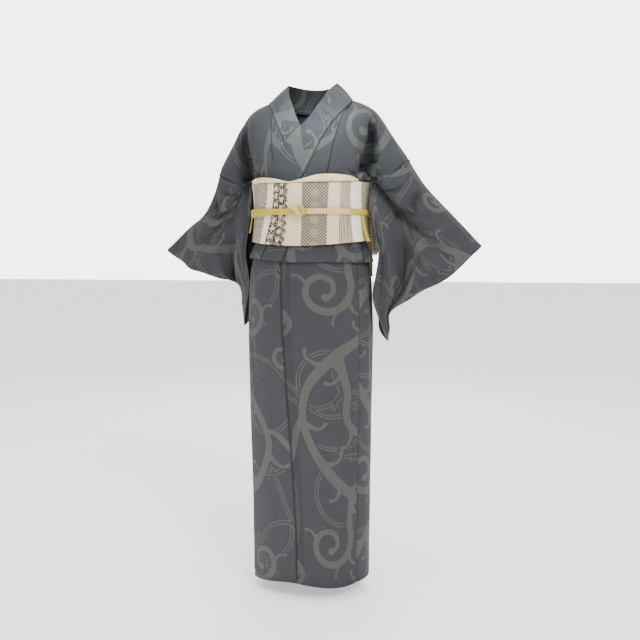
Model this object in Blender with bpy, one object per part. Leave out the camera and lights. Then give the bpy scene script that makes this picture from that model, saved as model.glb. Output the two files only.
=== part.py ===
"""Unlined kimono worn left over right, with its sash, bow, sash scarf and sash cord.

Metres, +Z up. The wearer faces -Y and the wearer's left is +X. The origin is the middle of
the shoulder line at the base of the neck, where the wearer's shoulders carry the garment.
Every piece of cloth is a wall of real thickness, laid out as rows and columns of points.
"""

import math

import bpy
import numpy as np

# Driving sizes
WALL = 0.0015
COLLAR_WALL = 0.0024
SASH_WALL = 0.003
SEAM_GAP = 0.0004
LAYER = 0.0041
HEM = -1.266
SASH_TOP_FRONT = -0.223
SASH_TOP_SIDE = -0.215
SASH_LOW_FRONT = -0.379
SASH_LOW_SIDE = -0.365
SKIRT_TOP = -0.3724
HIP_HALF_GIRTH = 0.463
SIDE_SEAM = 0.165
OKUMI_WIDTH = 0.150
CORD_LEVEL = -0.293
# The cloth's outer face stands this far off the figure where nothing lies under it
SKIN = 0.0004
# How far the right front drops under the left one, and how much shorter it hangs
UNDER_DEPTH = 0.0040
UNDER_LIFT = 0.012
# Girth places of the right front's okumi seam and of its free edge
UNDER_SEAM = 0.055
UNDER_EDGE = 0.165
SKIRT_ROWS = 9
# Where the left front comes down onto the figure past the right one, over what distance, and
# how much of the layer is left right under the sash
LAYER_END = 0.155
LAYER_FADE = 0.05
TOP_LAYER_SHARE = 0.85
# Hem of the front on top: girth place, how far it drops below the level hem
HEM_DROP = (
    (-0.200, 0.0115), (-0.120, 0.006), (-0.075, -0.001), (-0.020, -0.007),
    (0.030, -0.002), (0.070, 0.003), (0.115, 0.004), (0.165, 0.000),
)
# Places that the inner face of each piece looks towards
SKIRT_MIDDLE = (0.0, 0.0, -0.7)
CHEST_MIDDLE = (0.0, 0.0, -0.15)
SASH_MIDDLE = (0.0, 0.0, -0.3)
BOW_MIDDLE = (0.0, 0.165, -0.28)

OUTLINE_STEPS = 241
# Dressed figure: height, half width, depth in front, depth behind
FIGURE = (
    (0.060, 0.200, 0.080, 0.100),
    (-0.030, 0.196, 0.106, 0.110),
    (-0.100, 0.178, 0.122, 0.112),
    (-0.160, 0.158, 0.125, 0.106),
    (-0.215, 0.143, 0.119, 0.098),
    (-0.300, 0.139, 0.112, 0.094),
    (-0.365, 0.144, 0.114, 0.102),
    (-0.440, 0.159, 0.120, 0.116),
    (-0.550, 0.166, 0.125, 0.124),
    (-0.750, 0.166, 0.124, 0.122),
    (-1.000, 0.163, 0.121, 0.116),
    (-1.266, 0.160, 0.119, 0.112),
)

# Shoulder line from the neck to the sleeve seam: distance out, height
SHOULDER = {
    "left": (
        (0.000, 0.030), (0.070, 0.013), (0.112, 0.000), (0.145, -0.012),
        (0.177, -0.034), (0.220, -0.096), (0.262, -0.158), (0.300, -0.220),
    ),
    "right": (
        (0.000, 0.030), (0.070, 0.013), (0.112, 0.000), (0.145, -0.013),
        (0.171, -0.031), (0.220, -0.095), (0.267, -0.171), (0.290, -0.230),
    ),
}
ARM_SET_BACK = {"left": 0.0, "right": 0.030}

# Pocket between the chest and the arm: height, distance out, depth, half width
ARM_POCKET = (
    (0.020, 0.174, 0.000, 0.010),
    (-0.050, 0.174, 0.004, 0.010),
    (-0.100, 0.172, 0.026, 0.013),
    (-0.150, 0.168, 0.044, 0.017),
    (-0.230, 0.172, 0.050, 0.018),
)

# Seam between collar and front: height, distance from the centre towards the piece's own side
COLLAR_SEAM = {
    "left": (
        (0.000, 0.112), (-0.0127, 0.1176), (-0.050, 0.095), (-0.100, 0.066),
        (-0.160, 0.036), (-0.218, 0.0066),
    ),
    "right": (
        (0.000, 0.112), (-0.0186, 0.0960), (-0.060, 0.070), (-0.120, 0.038),
        (-0.160, 0.024), (-0.218, 0.004),
    ),
}

# Seam between the front and its okumi strip: height, distance towards the piece's own side
OKUMI_SEAM = {
    "left": (
        (0.000, 0.1125), (-0.0127, 0.1182), (-0.034, 0.1075), (-0.060, 0.1015),
        (-0.123, 0.0885), (-0.205, 0.0705),
    ),
    "right": (
        (0.000, 0.1125), (-0.0186, 0.0968), (-0.036, 0.0872), (-0.060, 0.0810),
        (-0.123, 0.0740), (-0.205, 0.0705),
    ),
}
OKUMI_TIP = -0.040

# Girth places below the sash top, for the layer on top: height, collar front edge,
# collar seam, okumi seam, side seam, all as distance round from the front centre
OVER_LAYER = (
    (-0.205, -0.074, 0.012, 0.070, 0.200),
    (-0.250, -0.098, -0.018, 0.052, 0.190),
    (-0.300, -0.122, -0.048, 0.020, 0.180),
    (-0.372, -0.150, -0.088, -0.022, 0.168),
    (-0.430, -0.166, -0.106, -0.040, 0.165),
)

# Inner edge of a sleeve, from the shoulder fold down: share of the cloth's length, out, fore, height
SLEEVE_SEAM_SHARE = 0.33
SLEEVE_INNER = {
    ("left", "front"): (
        (0.00, 0.2617, 0.000, -0.1580), (0.03, 0.2560, -0.028, -0.1660),
        (0.08, 0.2460, -0.043, -0.1820), (0.15, 0.2173, -0.050, -0.2030),
        (0.22, 0.1943, -0.047, -0.2130), (0.28, 0.1800, -0.028, -0.2120),
        (0.33, 0.1700, 0.000, -0.2020), (0.40, 0.1690, -0.030, -0.2400),
        (0.55, 0.1770, -0.040, -0.3380), (0.64, 0.1890, -0.036, -0.3920),
        (0.76, 0.1790, -0.030, -0.4670), (0.83, 0.1730, -0.030, -0.5100),
        (0.93, 0.1930, -0.008, -0.5850), (1.00, 0.2070, 0.018, -0.6320),
    ),
    ("left", "back"): (
        (0.00, 0.2617, 0.000, -0.1580), (0.03, 0.2560, 0.028, -0.1660),
        (0.08, 0.2460, 0.045, -0.1820), (0.15, 0.2173, 0.055, -0.2030),
        (0.22, 0.1943, 0.056, -0.2130), (0.28, 0.1800, 0.040, -0.2120),
        (0.33, 0.1700, 0.018, -0.2020), (0.40, 0.1690, 0.046, -0.2500),
        (0.55, 0.1730, 0.062, -0.3500), (0.70, 0.1770, 0.060, -0.4500),
        (0.83, 0.1760, 0.050, -0.5400), (0.93, 0.1830, 0.034, -0.6050),
        (1.00, 0.2070, 0.022, -0.6320),
    ),
    ("right", "front"): (
        (0.00, 0.2675, 0.030, -0.1710), (0.03, 0.2600, 0.004, -0.1780),
        (0.08, 0.2480, -0.010, -0.1900), (0.15, 0.2200, -0.018, -0.2040),
        (0.22, 0.1960, -0.018, -0.2100), (0.28, 0.1800, -0.008, -0.2080),
        (0.33, 0.1680, 0.008, -0.2000), (0.40, 0.1630, -0.012, -0.2400),
        (0.55, 0.1660, -0.026, -0.3300), (0.64, 0.1740, -0.030, -0.3900),
        (0.76, 0.1660, -0.030, -0.4580), (0.83, 0.1650, -0.030, -0.4900),
        (0.93, 0.1840, -0.004, -0.5500), (1.00, 0.1985, 0.022, -0.5960),
    ),
    ("right", "back"): (
        (0.00, 0.2675, 0.030, -0.1710), (0.03, 0.2600, 0.056, -0.1780),
        (0.08, 0.2480, 0.070, -0.1900), (0.15, 0.2200, 0.076, -0.2040),
        (0.22, 0.1960, 0.072, -0.2100), (0.28, 0.1800, 0.052, -0.2080),
        (0.33, 0.1680, 0.026, -0.2000), (0.40, 0.1670, 0.052, -0.2500),
        (0.55, 0.1700, 0.070, -0.3400), (0.70, 0.1730, 0.068, -0.4300),
        (0.83, 0.1730, 0.056, -0.5100), (0.93, 0.1780, 0.040, -0.5700),
        (1.00, 0.1985, 0.026, -0.5960),
    ),
}

# Outer edge of a sleeve, cuff first: share of the cloth's length, out, fore, height
SLEEVE_OUTER = {
    "left": (
        (0.00, 0.4495, 0.000, -0.3796), (0.16, 0.4205, -0.002, -0.4070),
        (0.32, 0.3908, -0.004, -0.4379), (0.46, 0.3633, -0.005, -0.4622),
        (0.58, 0.3345, -0.006, -0.4791), (0.69, 0.3023, -0.006, -0.4936),
        (0.80, 0.2649, -0.004, -0.5186), (0.92, 0.2135, 0.000, -0.5568),
        (1.00, 0.2120, 0.014, -0.5980),
    ),
    "right": (
        (0.00, 0.4374, 0.050, -0.3835), (0.14, 0.4120, 0.046, -0.4010),
        (0.28, 0.3800, 0.042, -0.4200), (0.42, 0.3600, 0.040, -0.4380),
        (0.60, 0.3200, 0.034, -0.4530), (0.76, 0.2700, 0.024, -0.4670),
        (0.90, 0.2060, 0.006, -0.4830), (1.00, 0.1990, 0.016, -0.5450),
    ),
}

# Fold at the top of a sleeve, from the seam to the wrist: share, out, fore, height
SLEEVE_TOP = {
    "left": (
        (0.00, 0.2617, 0.000, -0.1580), (0.24, 0.3010, 0.000, -0.2203),
        (0.52, 0.3577, 0.000, -0.2824), (1.00, 0.4495, 0.000, -0.3796),
    ),
    "right": (
        (0.00, 0.2675, 0.030, -0.1710), (0.19, 0.2835, 0.035, -0.2253),
        (0.37, 0.3092, 0.040, -0.2745), (0.68, 0.3686, 0.045, -0.3241),
        (1.00, 0.4374, 0.050, -0.3835),
    ),
}

# Main fold that falls from the armpit: share down the cloth, place across, ridge, valley
SLEEVE_FOLD = (
    (0.00, 0.14, 0.000, 0.000), (0.24, 0.14, 0.000, 0.000), (0.38, 0.15, 0.006, 0.014),
    (0.55, 0.19, 0.013, 0.036), (0.66, 0.25, 0.015, 0.042), (0.78, 0.42, 0.014, 0.034),
    (0.88, 0.60, 0.010, 0.018), (1.00, 0.72, 0.002, 0.000),
)
RIDGE_COLUMN = 0.30
RIDGE_SPREAD = 0.13
VALLEY_COLUMN = 0.50
VALLEY_SPREAD = 0.13

# Waist fold under the sash: height, how far it stands off the figure
WAIST_FOLD = (
    (-0.372, 0.0066), (-0.384, 0.0092), (-0.398, 0.0122), (-0.410, 0.0140),
    (-0.4175, 0.0140), (-0.4205, 0.0120), (-0.4195, 0.0096), (-0.412, 0.0082),
    (-0.396, 0.0070),
)

# Collar's free edge: height of its seam point, then out, fore and height of the edge itself
COLLAR_EDGE = {
    "left": (
        (0.000, 0.066, 0.022, 0.052), (-0.0127, 0.060, -0.010, 0.036),
        (-0.050, 0.043, -0.052, -0.004), (-0.100, 0.018, -0.093, -0.058),
        (-0.160, -0.026, -0.119, -0.108), (-0.218, -0.072, -0.111, -0.176),
    ),
    "right": (
        (0.000, 0.066, 0.022, 0.051), (-0.0186, 0.057, -0.012, 0.030),
        (-0.060, 0.034, -0.058, -0.014), (-0.120, -0.004, -0.104, -0.084),
        (-0.160, -0.022, -0.114, -0.110), (-0.218, -0.060, -0.112, -0.176),
    ),
}

# Collar round the back of the neck: seam out, seam height, edge out, edge fore, edge height
COLLAR_NAPE = (
    (0.112, 0.000, 0.066, 0.022, 0.052),
    (0.100, -0.003, 0.060, 0.052, 0.054),
    (0.066, -0.008, 0.042, 0.076, 0.053),
    (0.032, -0.011, 0.021, 0.088, 0.051),
    (0.000, -0.012, 0.000, 0.092, 0.050),
)


def clear_scene():
    """Remove every object that the file starts with."""
    for item in list(bpy.data.objects):
        bpy.data.objects.remove(item, do_unlink=True)


def smooth(table, at):
    """Read a table whose first column is the key, on a smooth curve through its rows."""
    table = np.asarray(table, float)
    keys = table[:, 0]
    values = table[:, 1:]
    if keys[0] > keys[-1]:
        keys = keys[::-1]
        values = values[::-1]
    at = np.clip(np.asarray(at, float), keys[0], keys[-1])
    slopes = np.gradient(values, keys, axis=0)
    row = np.clip(np.searchsorted(keys, at) - 1, 0, len(keys) - 2)
    span = keys[row + 1] - keys[row]
    t = ((at - keys[row]) / span)[..., None]
    span = span[..., None]
    start = values[row] * (2 * t**3 - 3 * t**2 + 1) + slopes[row] * span * (t**3 - 2 * t**2 + t)
    end = values[row + 1] * (3 * t**2 - 2 * t**3) + slopes[row + 1] * span * (t**3 - t**2)
    return start + end


def ease(value):
    """Rise smoothly from 0 to 1."""
    value = np.clip(value, 0.0, 1.0)
    return value * value * (3 - 2 * value)


def mix(low, high, share):
    """Go from low to high by a share."""
    return low + (high - low) * share


def point(x, y, z):
    """Join coordinates of any shapes into points."""
    return np.stack(np.broadcast_arrays(x, y, z), axis=-1).astype(float)


def outline(height):
    """Angles round half of the figure and the distance travelled from the front to each."""
    half_width, front, back = smooth(FIGURE, np.array([height]))[0]
    angles = np.linspace(0.0, math.pi, OUTLINE_STEPS)
    depth = np.where(np.cos(angles) > 0, front, back)
    x = half_width * np.sin(angles)
    y = -depth * np.cos(angles)
    steps = np.hypot(np.diff(x), np.diff(y))
    return angles, np.concatenate(([0.0], np.cumsum(steps)))


def girth_angle(distance, height):
    """Angle round the figure of a place that lies a distance round from the front centre."""
    angles, travel = outline(height)
    distance = np.asarray(distance, float)
    return np.sign(distance) * np.interp(np.abs(distance), travel, angles)


def half_girth(height):
    """Distance from the front centre round to the back centre."""
    return float(outline(height)[1][-1])


def on_figure(angle, height, offset):
    """Point on the dressed figure at an angle, a height and a distance off it."""
    section = smooth(FIGURE, np.asarray(height, float))
    angle = np.asarray(angle, float)
    depth = np.where(np.cos(angle) > 0, section[..., 1], section[..., 2]) + offset
    x = (section[..., 0] + offset) * np.sin(angle)
    return point(x, -depth * np.cos(angle), height)


def shoulder_height(side, out):
    """Height of the shoulder line at a distance out."""
    return smooth(SHOULDER[side], out)[..., 0]


def torso_depth(side, face, out, height):
    """How far the cloth stands from the shoulder line, in front or behind."""
    section = smooth(FIGURE, height)
    centre_depth = section[..., 1] if face == "front" else section[..., 2]
    share = np.clip(1 - (out / section[..., 0])**2, 0.0, None)
    torso = centre_depth * np.sqrt(share)
    arm = 0.047 * ease((height + 0.215) / 0.05) * ease((np.abs(out) - 0.05) / 0.10)
    depth = (torso**4 + arm**4)**0.25
    reach = mix(0.20, 0.06, ease(out / 0.20)) if face == "front" else mix(0.05, 0.07, ease(out / 0.20))
    drop = np.clip((shoulder_height(side, out) - height) / reach, 0.0, 1.0)
    return depth * np.sqrt(1 - (1 - drop)**2)


def torso_point(side, face, out, height, offset):
    """Point of the worn body cloth above the sash."""
    depth = torso_depth(side, face, out, height) + offset
    set_back = ARM_SET_BACK[side] * ease((out - 0.13) / 0.12)
    if face == "front":
        pocket = smooth(ARM_POCKET, height)
        hollow = pocket[..., 1] * np.exp(-((out - pocket[..., 0]) / pocket[..., 2])**2)
        y = set_back - depth + hollow
    else:
        y = set_back + depth
    sign = 1.0 if side == "left" else -1.0
    return point(sign * out, y, height)


def sleeve_inner(side, face, share):
    """Point on a sleeve's inner edge, which its upper part shares with the body."""
    place = smooth(SLEEVE_INNER[(side, face)], share)
    sign = 1.0 if side == "left" else -1.0
    return place * np.array([sign, 1.0, 1.0])


def arm_direction(side):
    """Direction of the upper arm, down and out from the shoulder."""
    top = smooth(SLEEVE_TOP[side], np.array([0.0, 0.2]))
    way = (top[1] - top[0]) * np.array([1.0 if side == "left" else -1.0, 1.0, 1.0])
    return way / np.linalg.norm(way)


def seam_normal(side, face, share):
    """Outward direction that body and sleeve share along their seam."""
    step = 0.01
    before = sleeve_inner(side, face, np.array([max(share - step, 0.0)]))[0]
    after = sleeve_inner(side, face, np.array([share + step]))[0]
    normal = np.cross(after - before, arm_direction(side))
    normal /= np.linalg.norm(normal)
    halfway = np.array([0.2])
    middle = 0.5 * (sleeve_inner(side, "front", halfway)[0] + sleeve_inner(side, "back", halfway)[0])
    here = sleeve_inner(side, face, np.array([share]))[0]
    return normal if np.dot(normal, here - middle) > 0 else -normal


def surface_normals(grid, closed_rows=False):
    """Unit normals of a grid of points."""
    if closed_rows:
        down = np.roll(grid, -1, axis=0) - np.roll(grid, 1, axis=0)
    else:
        down = np.gradient(grid, axis=0)
    across = np.gradient(grid, axis=1)
    normal = np.cross(across, down)
    length = np.linalg.norm(normal, axis=2, keepdims=True)
    return normal / np.maximum(length, 1e-9)


def make_material(name, colour, roughness):
    """Plain finish for one kind of cloth."""
    finish = bpy.data.materials.new(name)
    finish.use_nodes = True
    shader = finish.node_tree.nodes["Principled BSDF"]
    shader.inputs["Base Color"].default_value = (*colour, 1.0)
    shader.inputs["Roughness"].default_value = roughness
    shader.inputs["Metallic"].default_value = 0.0
    return finish


def add_object(name, points, faces, finish):
    """Make one named solid, turned so that its faces point out."""
    mesh = bpy.data.meshes.new(name)
    mesh.from_pydata([tuple(p) for p in points], [], faces)
    mesh.update()
    volume = 0.0
    for face in mesh.polygons:
        corners = [mesh.vertices[i].co for i in face.vertices]
        for k in range(1, len(corners) - 1):
            volume += corners[0].dot(corners[k].cross(corners[k + 1]))
    if volume < 0:
        mesh.flip_normals()
    mesh.materials.append(finish)
    mesh.shade_smooth()
    mesh.set_sharp_from_angle(angle=math.radians(40))
    item = bpy.data.objects.new(name, mesh)
    bpy.context.scene.collection.objects.link(item)
    return item


def cloth_wall(name, grid, wall, finish, toward, last_normals=None):
    """Give a grid of outer points a thickness towards a place and close it into one solid.

    last_normals gives the outward direction of the last column, row by row, where it is set.
    """
    rows, columns = grid.shape[:2]
    normal = surface_normals(grid)
    facing = np.sum(normal * (np.asarray(toward, float) - grid), axis=2).mean()
    if facing < 0:
        normal = -normal
    for row, outward in (last_normals or {}).items():
        normal[row, -1] = -outward
    inner = grid + normal * wall
    points = np.concatenate([grid.reshape(-1, 3), inner.reshape(-1, 3)])
    shift = rows * columns
    faces = []
    for r in range(rows - 1):
        below = r + 1
        for c in range(columns - 1):
            a = r * columns + c
            b = r * columns + c + 1
            d = below * columns + c
            e = below * columns + c + 1
            faces.append((a, b, e, d))
            faces.append((a + shift, d + shift, e + shift, b + shift))
        first = r * columns
        first_below = below * columns
        last = first + columns - 1
        last_below = first_below + columns - 1
        faces.append((first, first_below, first_below + shift, first + shift))
        faces.append((last, last + shift, last_below + shift, last_below))
    end = (rows - 1) * columns
    for c in range(columns - 1):
        faces.append((c, c + shift, c + 1 + shift, c + 1))
        faces.append((end + c, end + c + 1, end + c + 1 + shift, end + c + shift))
    return add_object(name, points, faces, finish)


def rounded_roll(name, rings, finish):
    """Close a line of equal rings into one solid with flat ends."""
    count = len(rings[0])
    points = np.concatenate(rings)
    faces = [tuple(reversed(range(count)))]
    for r in range(len(rings) - 1):
        for c in range(count):
            after = (c + 1) % count
            faces.append((r * count + c, r * count + after, (r + 1) * count + after, (r + 1) * count + c))
    last = (len(rings) - 1) * count
    faces.append(tuple(last + c for c in range(count)))
    return add_object(name, points, faces, finish)


def closed_ring(name, rings, finish):
    """Join a loop of equal rings, the last to the first, into one solid."""
    count = len(rings[0])
    total = len(rings)
    points = np.concatenate(rings)
    faces = []
    for r in range(total):
        below = (r + 1) % total
        for c in range(count):
            after = (c + 1) % count
            faces.append((r * count + c, r * count + after, below * count + after, below * count + c))
    return add_object(name, points, faces, finish)


def skirt_sheet(start, end, offset, columns, rise):
    """Grid of a skirt length between two girth places, each given as a function of height."""
    lines = []
    for share in np.linspace(0.0, 1.0, SKIRT_ROWS):
        height = mix(SKIRT_TOP, HEM, share)
        across = np.linspace(start(height), end(height), columns)
        off = offset(across, height)
        angle = girth_angle(across, height)
        lines.append(on_figure(angle, height + rise(across, share), off))
    return np.array(lines)


def scaled(place, height):
    """Carry a girth place measured at the hip to another height."""
    return place * half_girth(height) / HIP_HALF_GIRTH


def build_skirt(finish):
    """Two backs, two fronts and two okumi strips, wrapped left over right."""
    gap = SEAM_GAP / 2

    def side(height):
        return scaled(SIDE_SEAM, height)

    def centre(height):
        return half_girth(height)

    def front_edge(height):
        return mix(-0.047, -0.006, ease((-0.42 - height) / 0.80))

    def over_offset(across, height):
        below_collar = mix(TOP_LAYER_SHARE, 1.0, ease((SKIRT_TOP - height) / LAYER_FADE))
        return LAYER * below_collar * ease((LAYER_END - across) / LAYER_FADE) + SKIN

    def under_offset(across, height):
        return SKIN - UNDER_DEPTH * ease((across + 0.02) / 0.10)

    def back_offset(across, height):
        return np.full_like(across, SKIN)

    def under_lift(across, share):
        return UNDER_LIFT * share

    def over_drop(across, share):
        return -smooth(HEM_DROP, across)[..., 0] * share

    def level_hem(across, share):
        return 0.0 * across

    rises = {over_offset: over_drop, under_offset: under_lift, back_offset: level_hem}
    layout = (
        ("back_left", lambda h: side(h) + gap, lambda h: centre(h) - gap, back_offset, 11),
        ("back_right", lambda h: -centre(h) + gap, lambda h: -side(h) - gap, back_offset, 11),
        ("front_left", lambda h: front_edge(h) + gap, lambda h: side(h) - gap, over_offset, 10),
        ("okumi_left", lambda h: front_edge(h) - OKUMI_WIDTH, lambda h: front_edge(h) - gap, over_offset, 8),
        ("front_right", lambda h: -side(h) + gap, lambda h: UNDER_SEAM - gap, under_offset, 10),
        ("okumi_right", lambda h: UNDER_SEAM + gap, lambda h: UNDER_EDGE, under_offset, 6),
    )
    for name, start, end, offset, columns in layout:
        grid = skirt_sheet(start, end, offset, columns, rises[offset])
        cloth_wall("skirt_" + name, grid, WALL, finish, SKIRT_MIDDLE)


ROW_SHARES = (0.0, 0.006, 0.03, 0.08, 0.15, 0.23, 0.32, 0.43, 0.55, 0.67, 0.79, 0.90, 1.0)
SASH_ROWS = (-0.2085, -0.222, -0.262, -0.312, -0.3715)
ARM_LEVEL = -0.200
NECK_SHARE = 0.32
NECK_EASE = 0.0014
# The back's first rows lie this much below the shoulder line
BACK_DROP = 0.0006
# How closely the outer end of each row turns towards the sleeve seam
EDGE_PULL = 5
UNDER_OFFSET = 0.0014
OVER_OFFSET = 0.0066
OVER_LIFT = 0.0046


def layer_lift(side, height):
    """How far the left layers stand over the right ones above the sash."""
    if side == "right":
        return np.full_like(height, SKIN)
    return SKIN + OVER_LIFT * ease((-0.03 - height) / 0.05)


def cloth_row(side, face, place_in, level_in, share, columns):
    """One row of a body length, from its inner seam out to the sleeve seam."""
    edge = sleeve_inner(side, face, np.array([share * SLEEVE_SEAM_SHARE]))[0]
    edge -= arm_direction(side) * SEAM_GAP
    top_out = abs(sleeve_inner(side, face, np.array([0.0]))[0][0])
    u = np.linspace(0.0, 1.0, columns)
    out = mix(place_in, abs(edge[0]), u)
    top_line = shoulder_height(side, mix(0.1135, top_out, u))
    bow = top_line - mix(top_line[0], top_line[-1], u)
    height = mix(level_in, edge[2], u) + bow * (1 - share)**2
    lift = layer_lift(side, height) if face == "front" else 0.0 * height
    line = torso_point(side, face, out, height, lift)
    line += (edge - line[-1]) * (u**EDGE_PULL)[:, None]
    return line


def chest_level(share):
    """Height of a body row at its inner seam."""
    return ARM_LEVEL * share**0.8


def front_rows(side, columns):
    """Rows of a front from the shoulder line down to the sash."""
    lines = []
    for share in ROW_SHARES:
        level_in = chest_level(share)
        place_in = smooth(OKUMI_SEAM[side], np.array([level_in]))[0, 0] + SEAM_GAP / 2
        collar_at = smooth(COLLAR_SEAM[side], np.array([level_in]))[0, 0]
        place_in = max(place_in, collar_at + NECK_EASE)
        lines.append(cloth_row(side, "front", place_in, level_in, share, columns))
    return lines


def back_rows(side, columns):
    """Rows of a back from the shoulder line down to the sash, past the neckline."""
    lines = []
    steps = len(COLLAR_NAPE) - 1
    neckline = np.array([(i / steps, row[0], row[1]) for i, row in enumerate(COLLAR_NAPE)])
    for share in ROW_SHARES[1:]:
        if share < NECK_SHARE:
            place_in, level_in = smooth(neckline, np.array([share / NECK_SHARE]))[0]
        else:
            place_in = 0.0
            level_in = mix(-0.0125, ARM_LEVEL, (share - NECK_SHARE) / (1 - NECK_SHARE))
        place_in = max(place_in, 0.0) + SEAM_GAP / 2
        lines.append(cloth_row(side, "back", place_in, level_in - BACK_DROP, share, columns))
    return lines


def wrapped_row(start, end, height, offset, columns):
    """One row round the figure between two girth places."""
    across = np.linspace(start, end, columns)
    angle = girth_angle(across, height)
    return on_figure(angle, np.full(columns, height), offset)


def fold_height(height, across):
    """Raise the waist fold's lower edge towards the wearer's right side and the back."""
    lift = 0.010 * ease(-across / 0.16) * ease((0.30 + across) / 0.10)
    return height + lift * np.clip((SASH_ROWS[-1] - height) / 0.05, 0.0, 1.0)


def fold_rows(start, end, columns):
    """Rows of the waist fold, down its outside, round its lower edge and up behind."""
    lines = []
    for height, offset in WAIST_FOLD[1:]:
        across = np.linspace(start(height), end(height), columns)
        angle = girth_angle(across, height)
        lines.append(on_figure(angle, fold_height(height, across), offset))
    return lines


def over_place(column, height):
    """Girth place of a seam of the layer on top."""
    return float(smooth(OVER_LAYER, np.array([height]))[0, column])


def build_upper(side, finish):
    """One length of cloth: up the front, over the shoulder and down the back."""
    columns = 10
    sign = 1.0 if side == "left" else -1.0
    layer = UNDER_OFFSET if side == "right" else OVER_OFFSET
    gap = SEAM_GAP / 2

    def okumi_place(height):
        return sign * (over_place(2, height) + gap)

    def side_place(height):
        return sign * (over_place(3, height) - gap)

    def centre_place(height):
        return sign * (half_girth(height) - gap)

    def back_side_place(height):
        return sign * (over_place(3, height) + gap)

    front = front_rows(side, columns)
    for height in SASH_ROWS:
        front.append(wrapped_row(okumi_place(height), side_place(height), height, layer, columns))
    if side == "left":
        front += fold_rows(okumi_place, side_place, columns)
    back = back_rows(side, columns)
    for height in SASH_ROWS:
        back.append(wrapped_row(centre_place(height), back_side_place(height), height, OVER_OFFSET, columns))
    back += fold_rows(centre_place, back_side_place, columns)
    grid = np.array(list(reversed(back)) + front)
    shoulder = len(back)
    seam = {}
    for row, share in enumerate(ROW_SHARES):
        seam[shoulder + row] = seam_normal(side, "front", share * SLEEVE_SEAM_SHARE)
        if row > 0:
            seam[shoulder - row] = seam_normal(side, "back", share * SLEEVE_SEAM_SHARE)
    return cloth_wall("upper_" + side, grid, WALL, finish, CHEST_MIDDLE, seam)


def build_okumi_upper(side, finish):
    """Strip between collar and front, down to the sash and, on top, the waist fold."""
    columns = 4
    sign = 1.0 if side == "left" else -1.0
    layer = UNDER_OFFSET if side == "right" else OVER_OFFSET
    gap = SEAM_GAP / 2

    def collar_place(height):
        return sign * (over_place(1, height) + gap)

    def okumi_place(height):
        return sign * (over_place(2, height) - gap)

    lines = []
    for height in [chest_level(share) for share in ROW_SHARES if chest_level(share) < OKUMI_TIP]:
        start = smooth(COLLAR_SEAM[side], np.array([height]))[0, 0] + gap
        end = smooth(OKUMI_SEAM[side], np.array([height]))[0, 0] - gap
        out = np.linspace(start, end, columns)
        level = np.full(columns, height)
        lines.append(torso_point(side, "front", out, level, layer_lift(side, level)))
    for height in SASH_ROWS:
        lines.append(wrapped_row(collar_place(height), okumi_place(height), height, layer, columns))
    if side == "left":
        lines += fold_rows(collar_place, okumi_place, columns)
    name = "okumi_upper_" + side
    return cloth_wall(name, np.array(lines), WALL, finish, CHEST_MIDDLE)


COLLAR_COLUMNS = 5
# How far the standing part of the collar rounds out between its seam and its edge
COLLAR_BULGE = 0.004
COLLAR_SLANT = ((-0.372, 0.000), (-0.300, 0.004), (-0.250, 0.016), (-0.2085, 0.036))


def collar_front_rows(side):
    """Rows of the collar from the neck's side down to the sash."""
    lines = []
    share = np.linspace(0.0, 1.0, COLLAR_COLUMNS)
    for height in [chest_level(share) for share in ROW_SHARES[1:]]:
        seam_out = smooth(COLLAR_SEAM[side], np.array([height]))[0, 0] - SEAM_GAP / 2
        edge_out, edge_fore, edge_height = smooth(COLLAR_EDGE[side], np.array([height]))[0]
        out = mix(edge_out, seam_out, share)
        level = mix(edge_height, height, share)
        lying = torso_point(side, "front", out, level, layer_lift(side, np.full_like(out, height)))
        standing = lying.copy()
        standing[:, 1] = mix(edge_fore, lying[-1, 1], share) - COLLAR_BULGE * np.sin(math.pi * share)
        settle = ease((-0.035 - height) / 0.07)
        lines.append(mix(standing, lying, settle))
    return lines


def collar_sash_rows(side):
    """Rows of the collar beneath the sash."""
    lines = []
    sign = 1.0 if side == "left" else -1.0
    layer = UNDER_OFFSET if side == "right" else OVER_OFFSET
    for height in SASH_ROWS:
        slant = float(smooth(COLLAR_SLANT, np.array([height]))[0, 0])
        across = np.linspace(over_place(0, height), over_place(1, height) - SEAM_GAP / 2, COLLAR_COLUMNS)
        level = np.linspace(height + slant, height, COLLAR_COLUMNS)
        angle = np.array([girth_angle(a, z) for a, z in zip(across, level)])
        line = on_figure(angle, level, layer)
        line[:, 0] *= sign
        lines.append(line)
    return lines


def collar_nape_rows():
    """Rows of the collar from the left side of the neck, round the nape, to the right side."""
    lines = []
    steps = len(COLLAR_NAPE) - 1
    table = np.array([(i / steps, *row) for i, row in enumerate(COLLAR_NAPE)])
    share = np.linspace(0.0, 1.0, COLLAR_COLUMNS)
    at_neck = [row for row in ROW_SHARES if row <= NECK_SHARE and row != ROW_SHARES[1]]
    for step in [row / NECK_SHARE for row in at_neck]:
        seam_out, seam_height, edge_out, edge_fore, edge_height = smooth(table, np.array([step]))[0]
        seam_out = max(seam_out - SEAM_GAP / 2, 0.0)
        seam = torso_point("left", "back", np.array([seam_out]), np.array([seam_height + BACK_DROP]), 0.0)[0]
        edge = np.array([max(edge_out, 0.0), edge_fore, edge_height])
        line = mix(edge, seam, share[:, None])
        bulge = COLLAR_BULGE * np.sin(math.pi * share)
        away = np.array([edge_out, 0.7 * max(edge_fore, 0.01), 0.0])
        away /= max(np.linalg.norm(away), 1e-6)
        lines.append(line + bulge[:, None] * away)
    mirrored = [line * np.array([-1.0, 1.0, 1.0]) for line in reversed(lines[:-1])]
    return lines + mirrored


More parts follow.
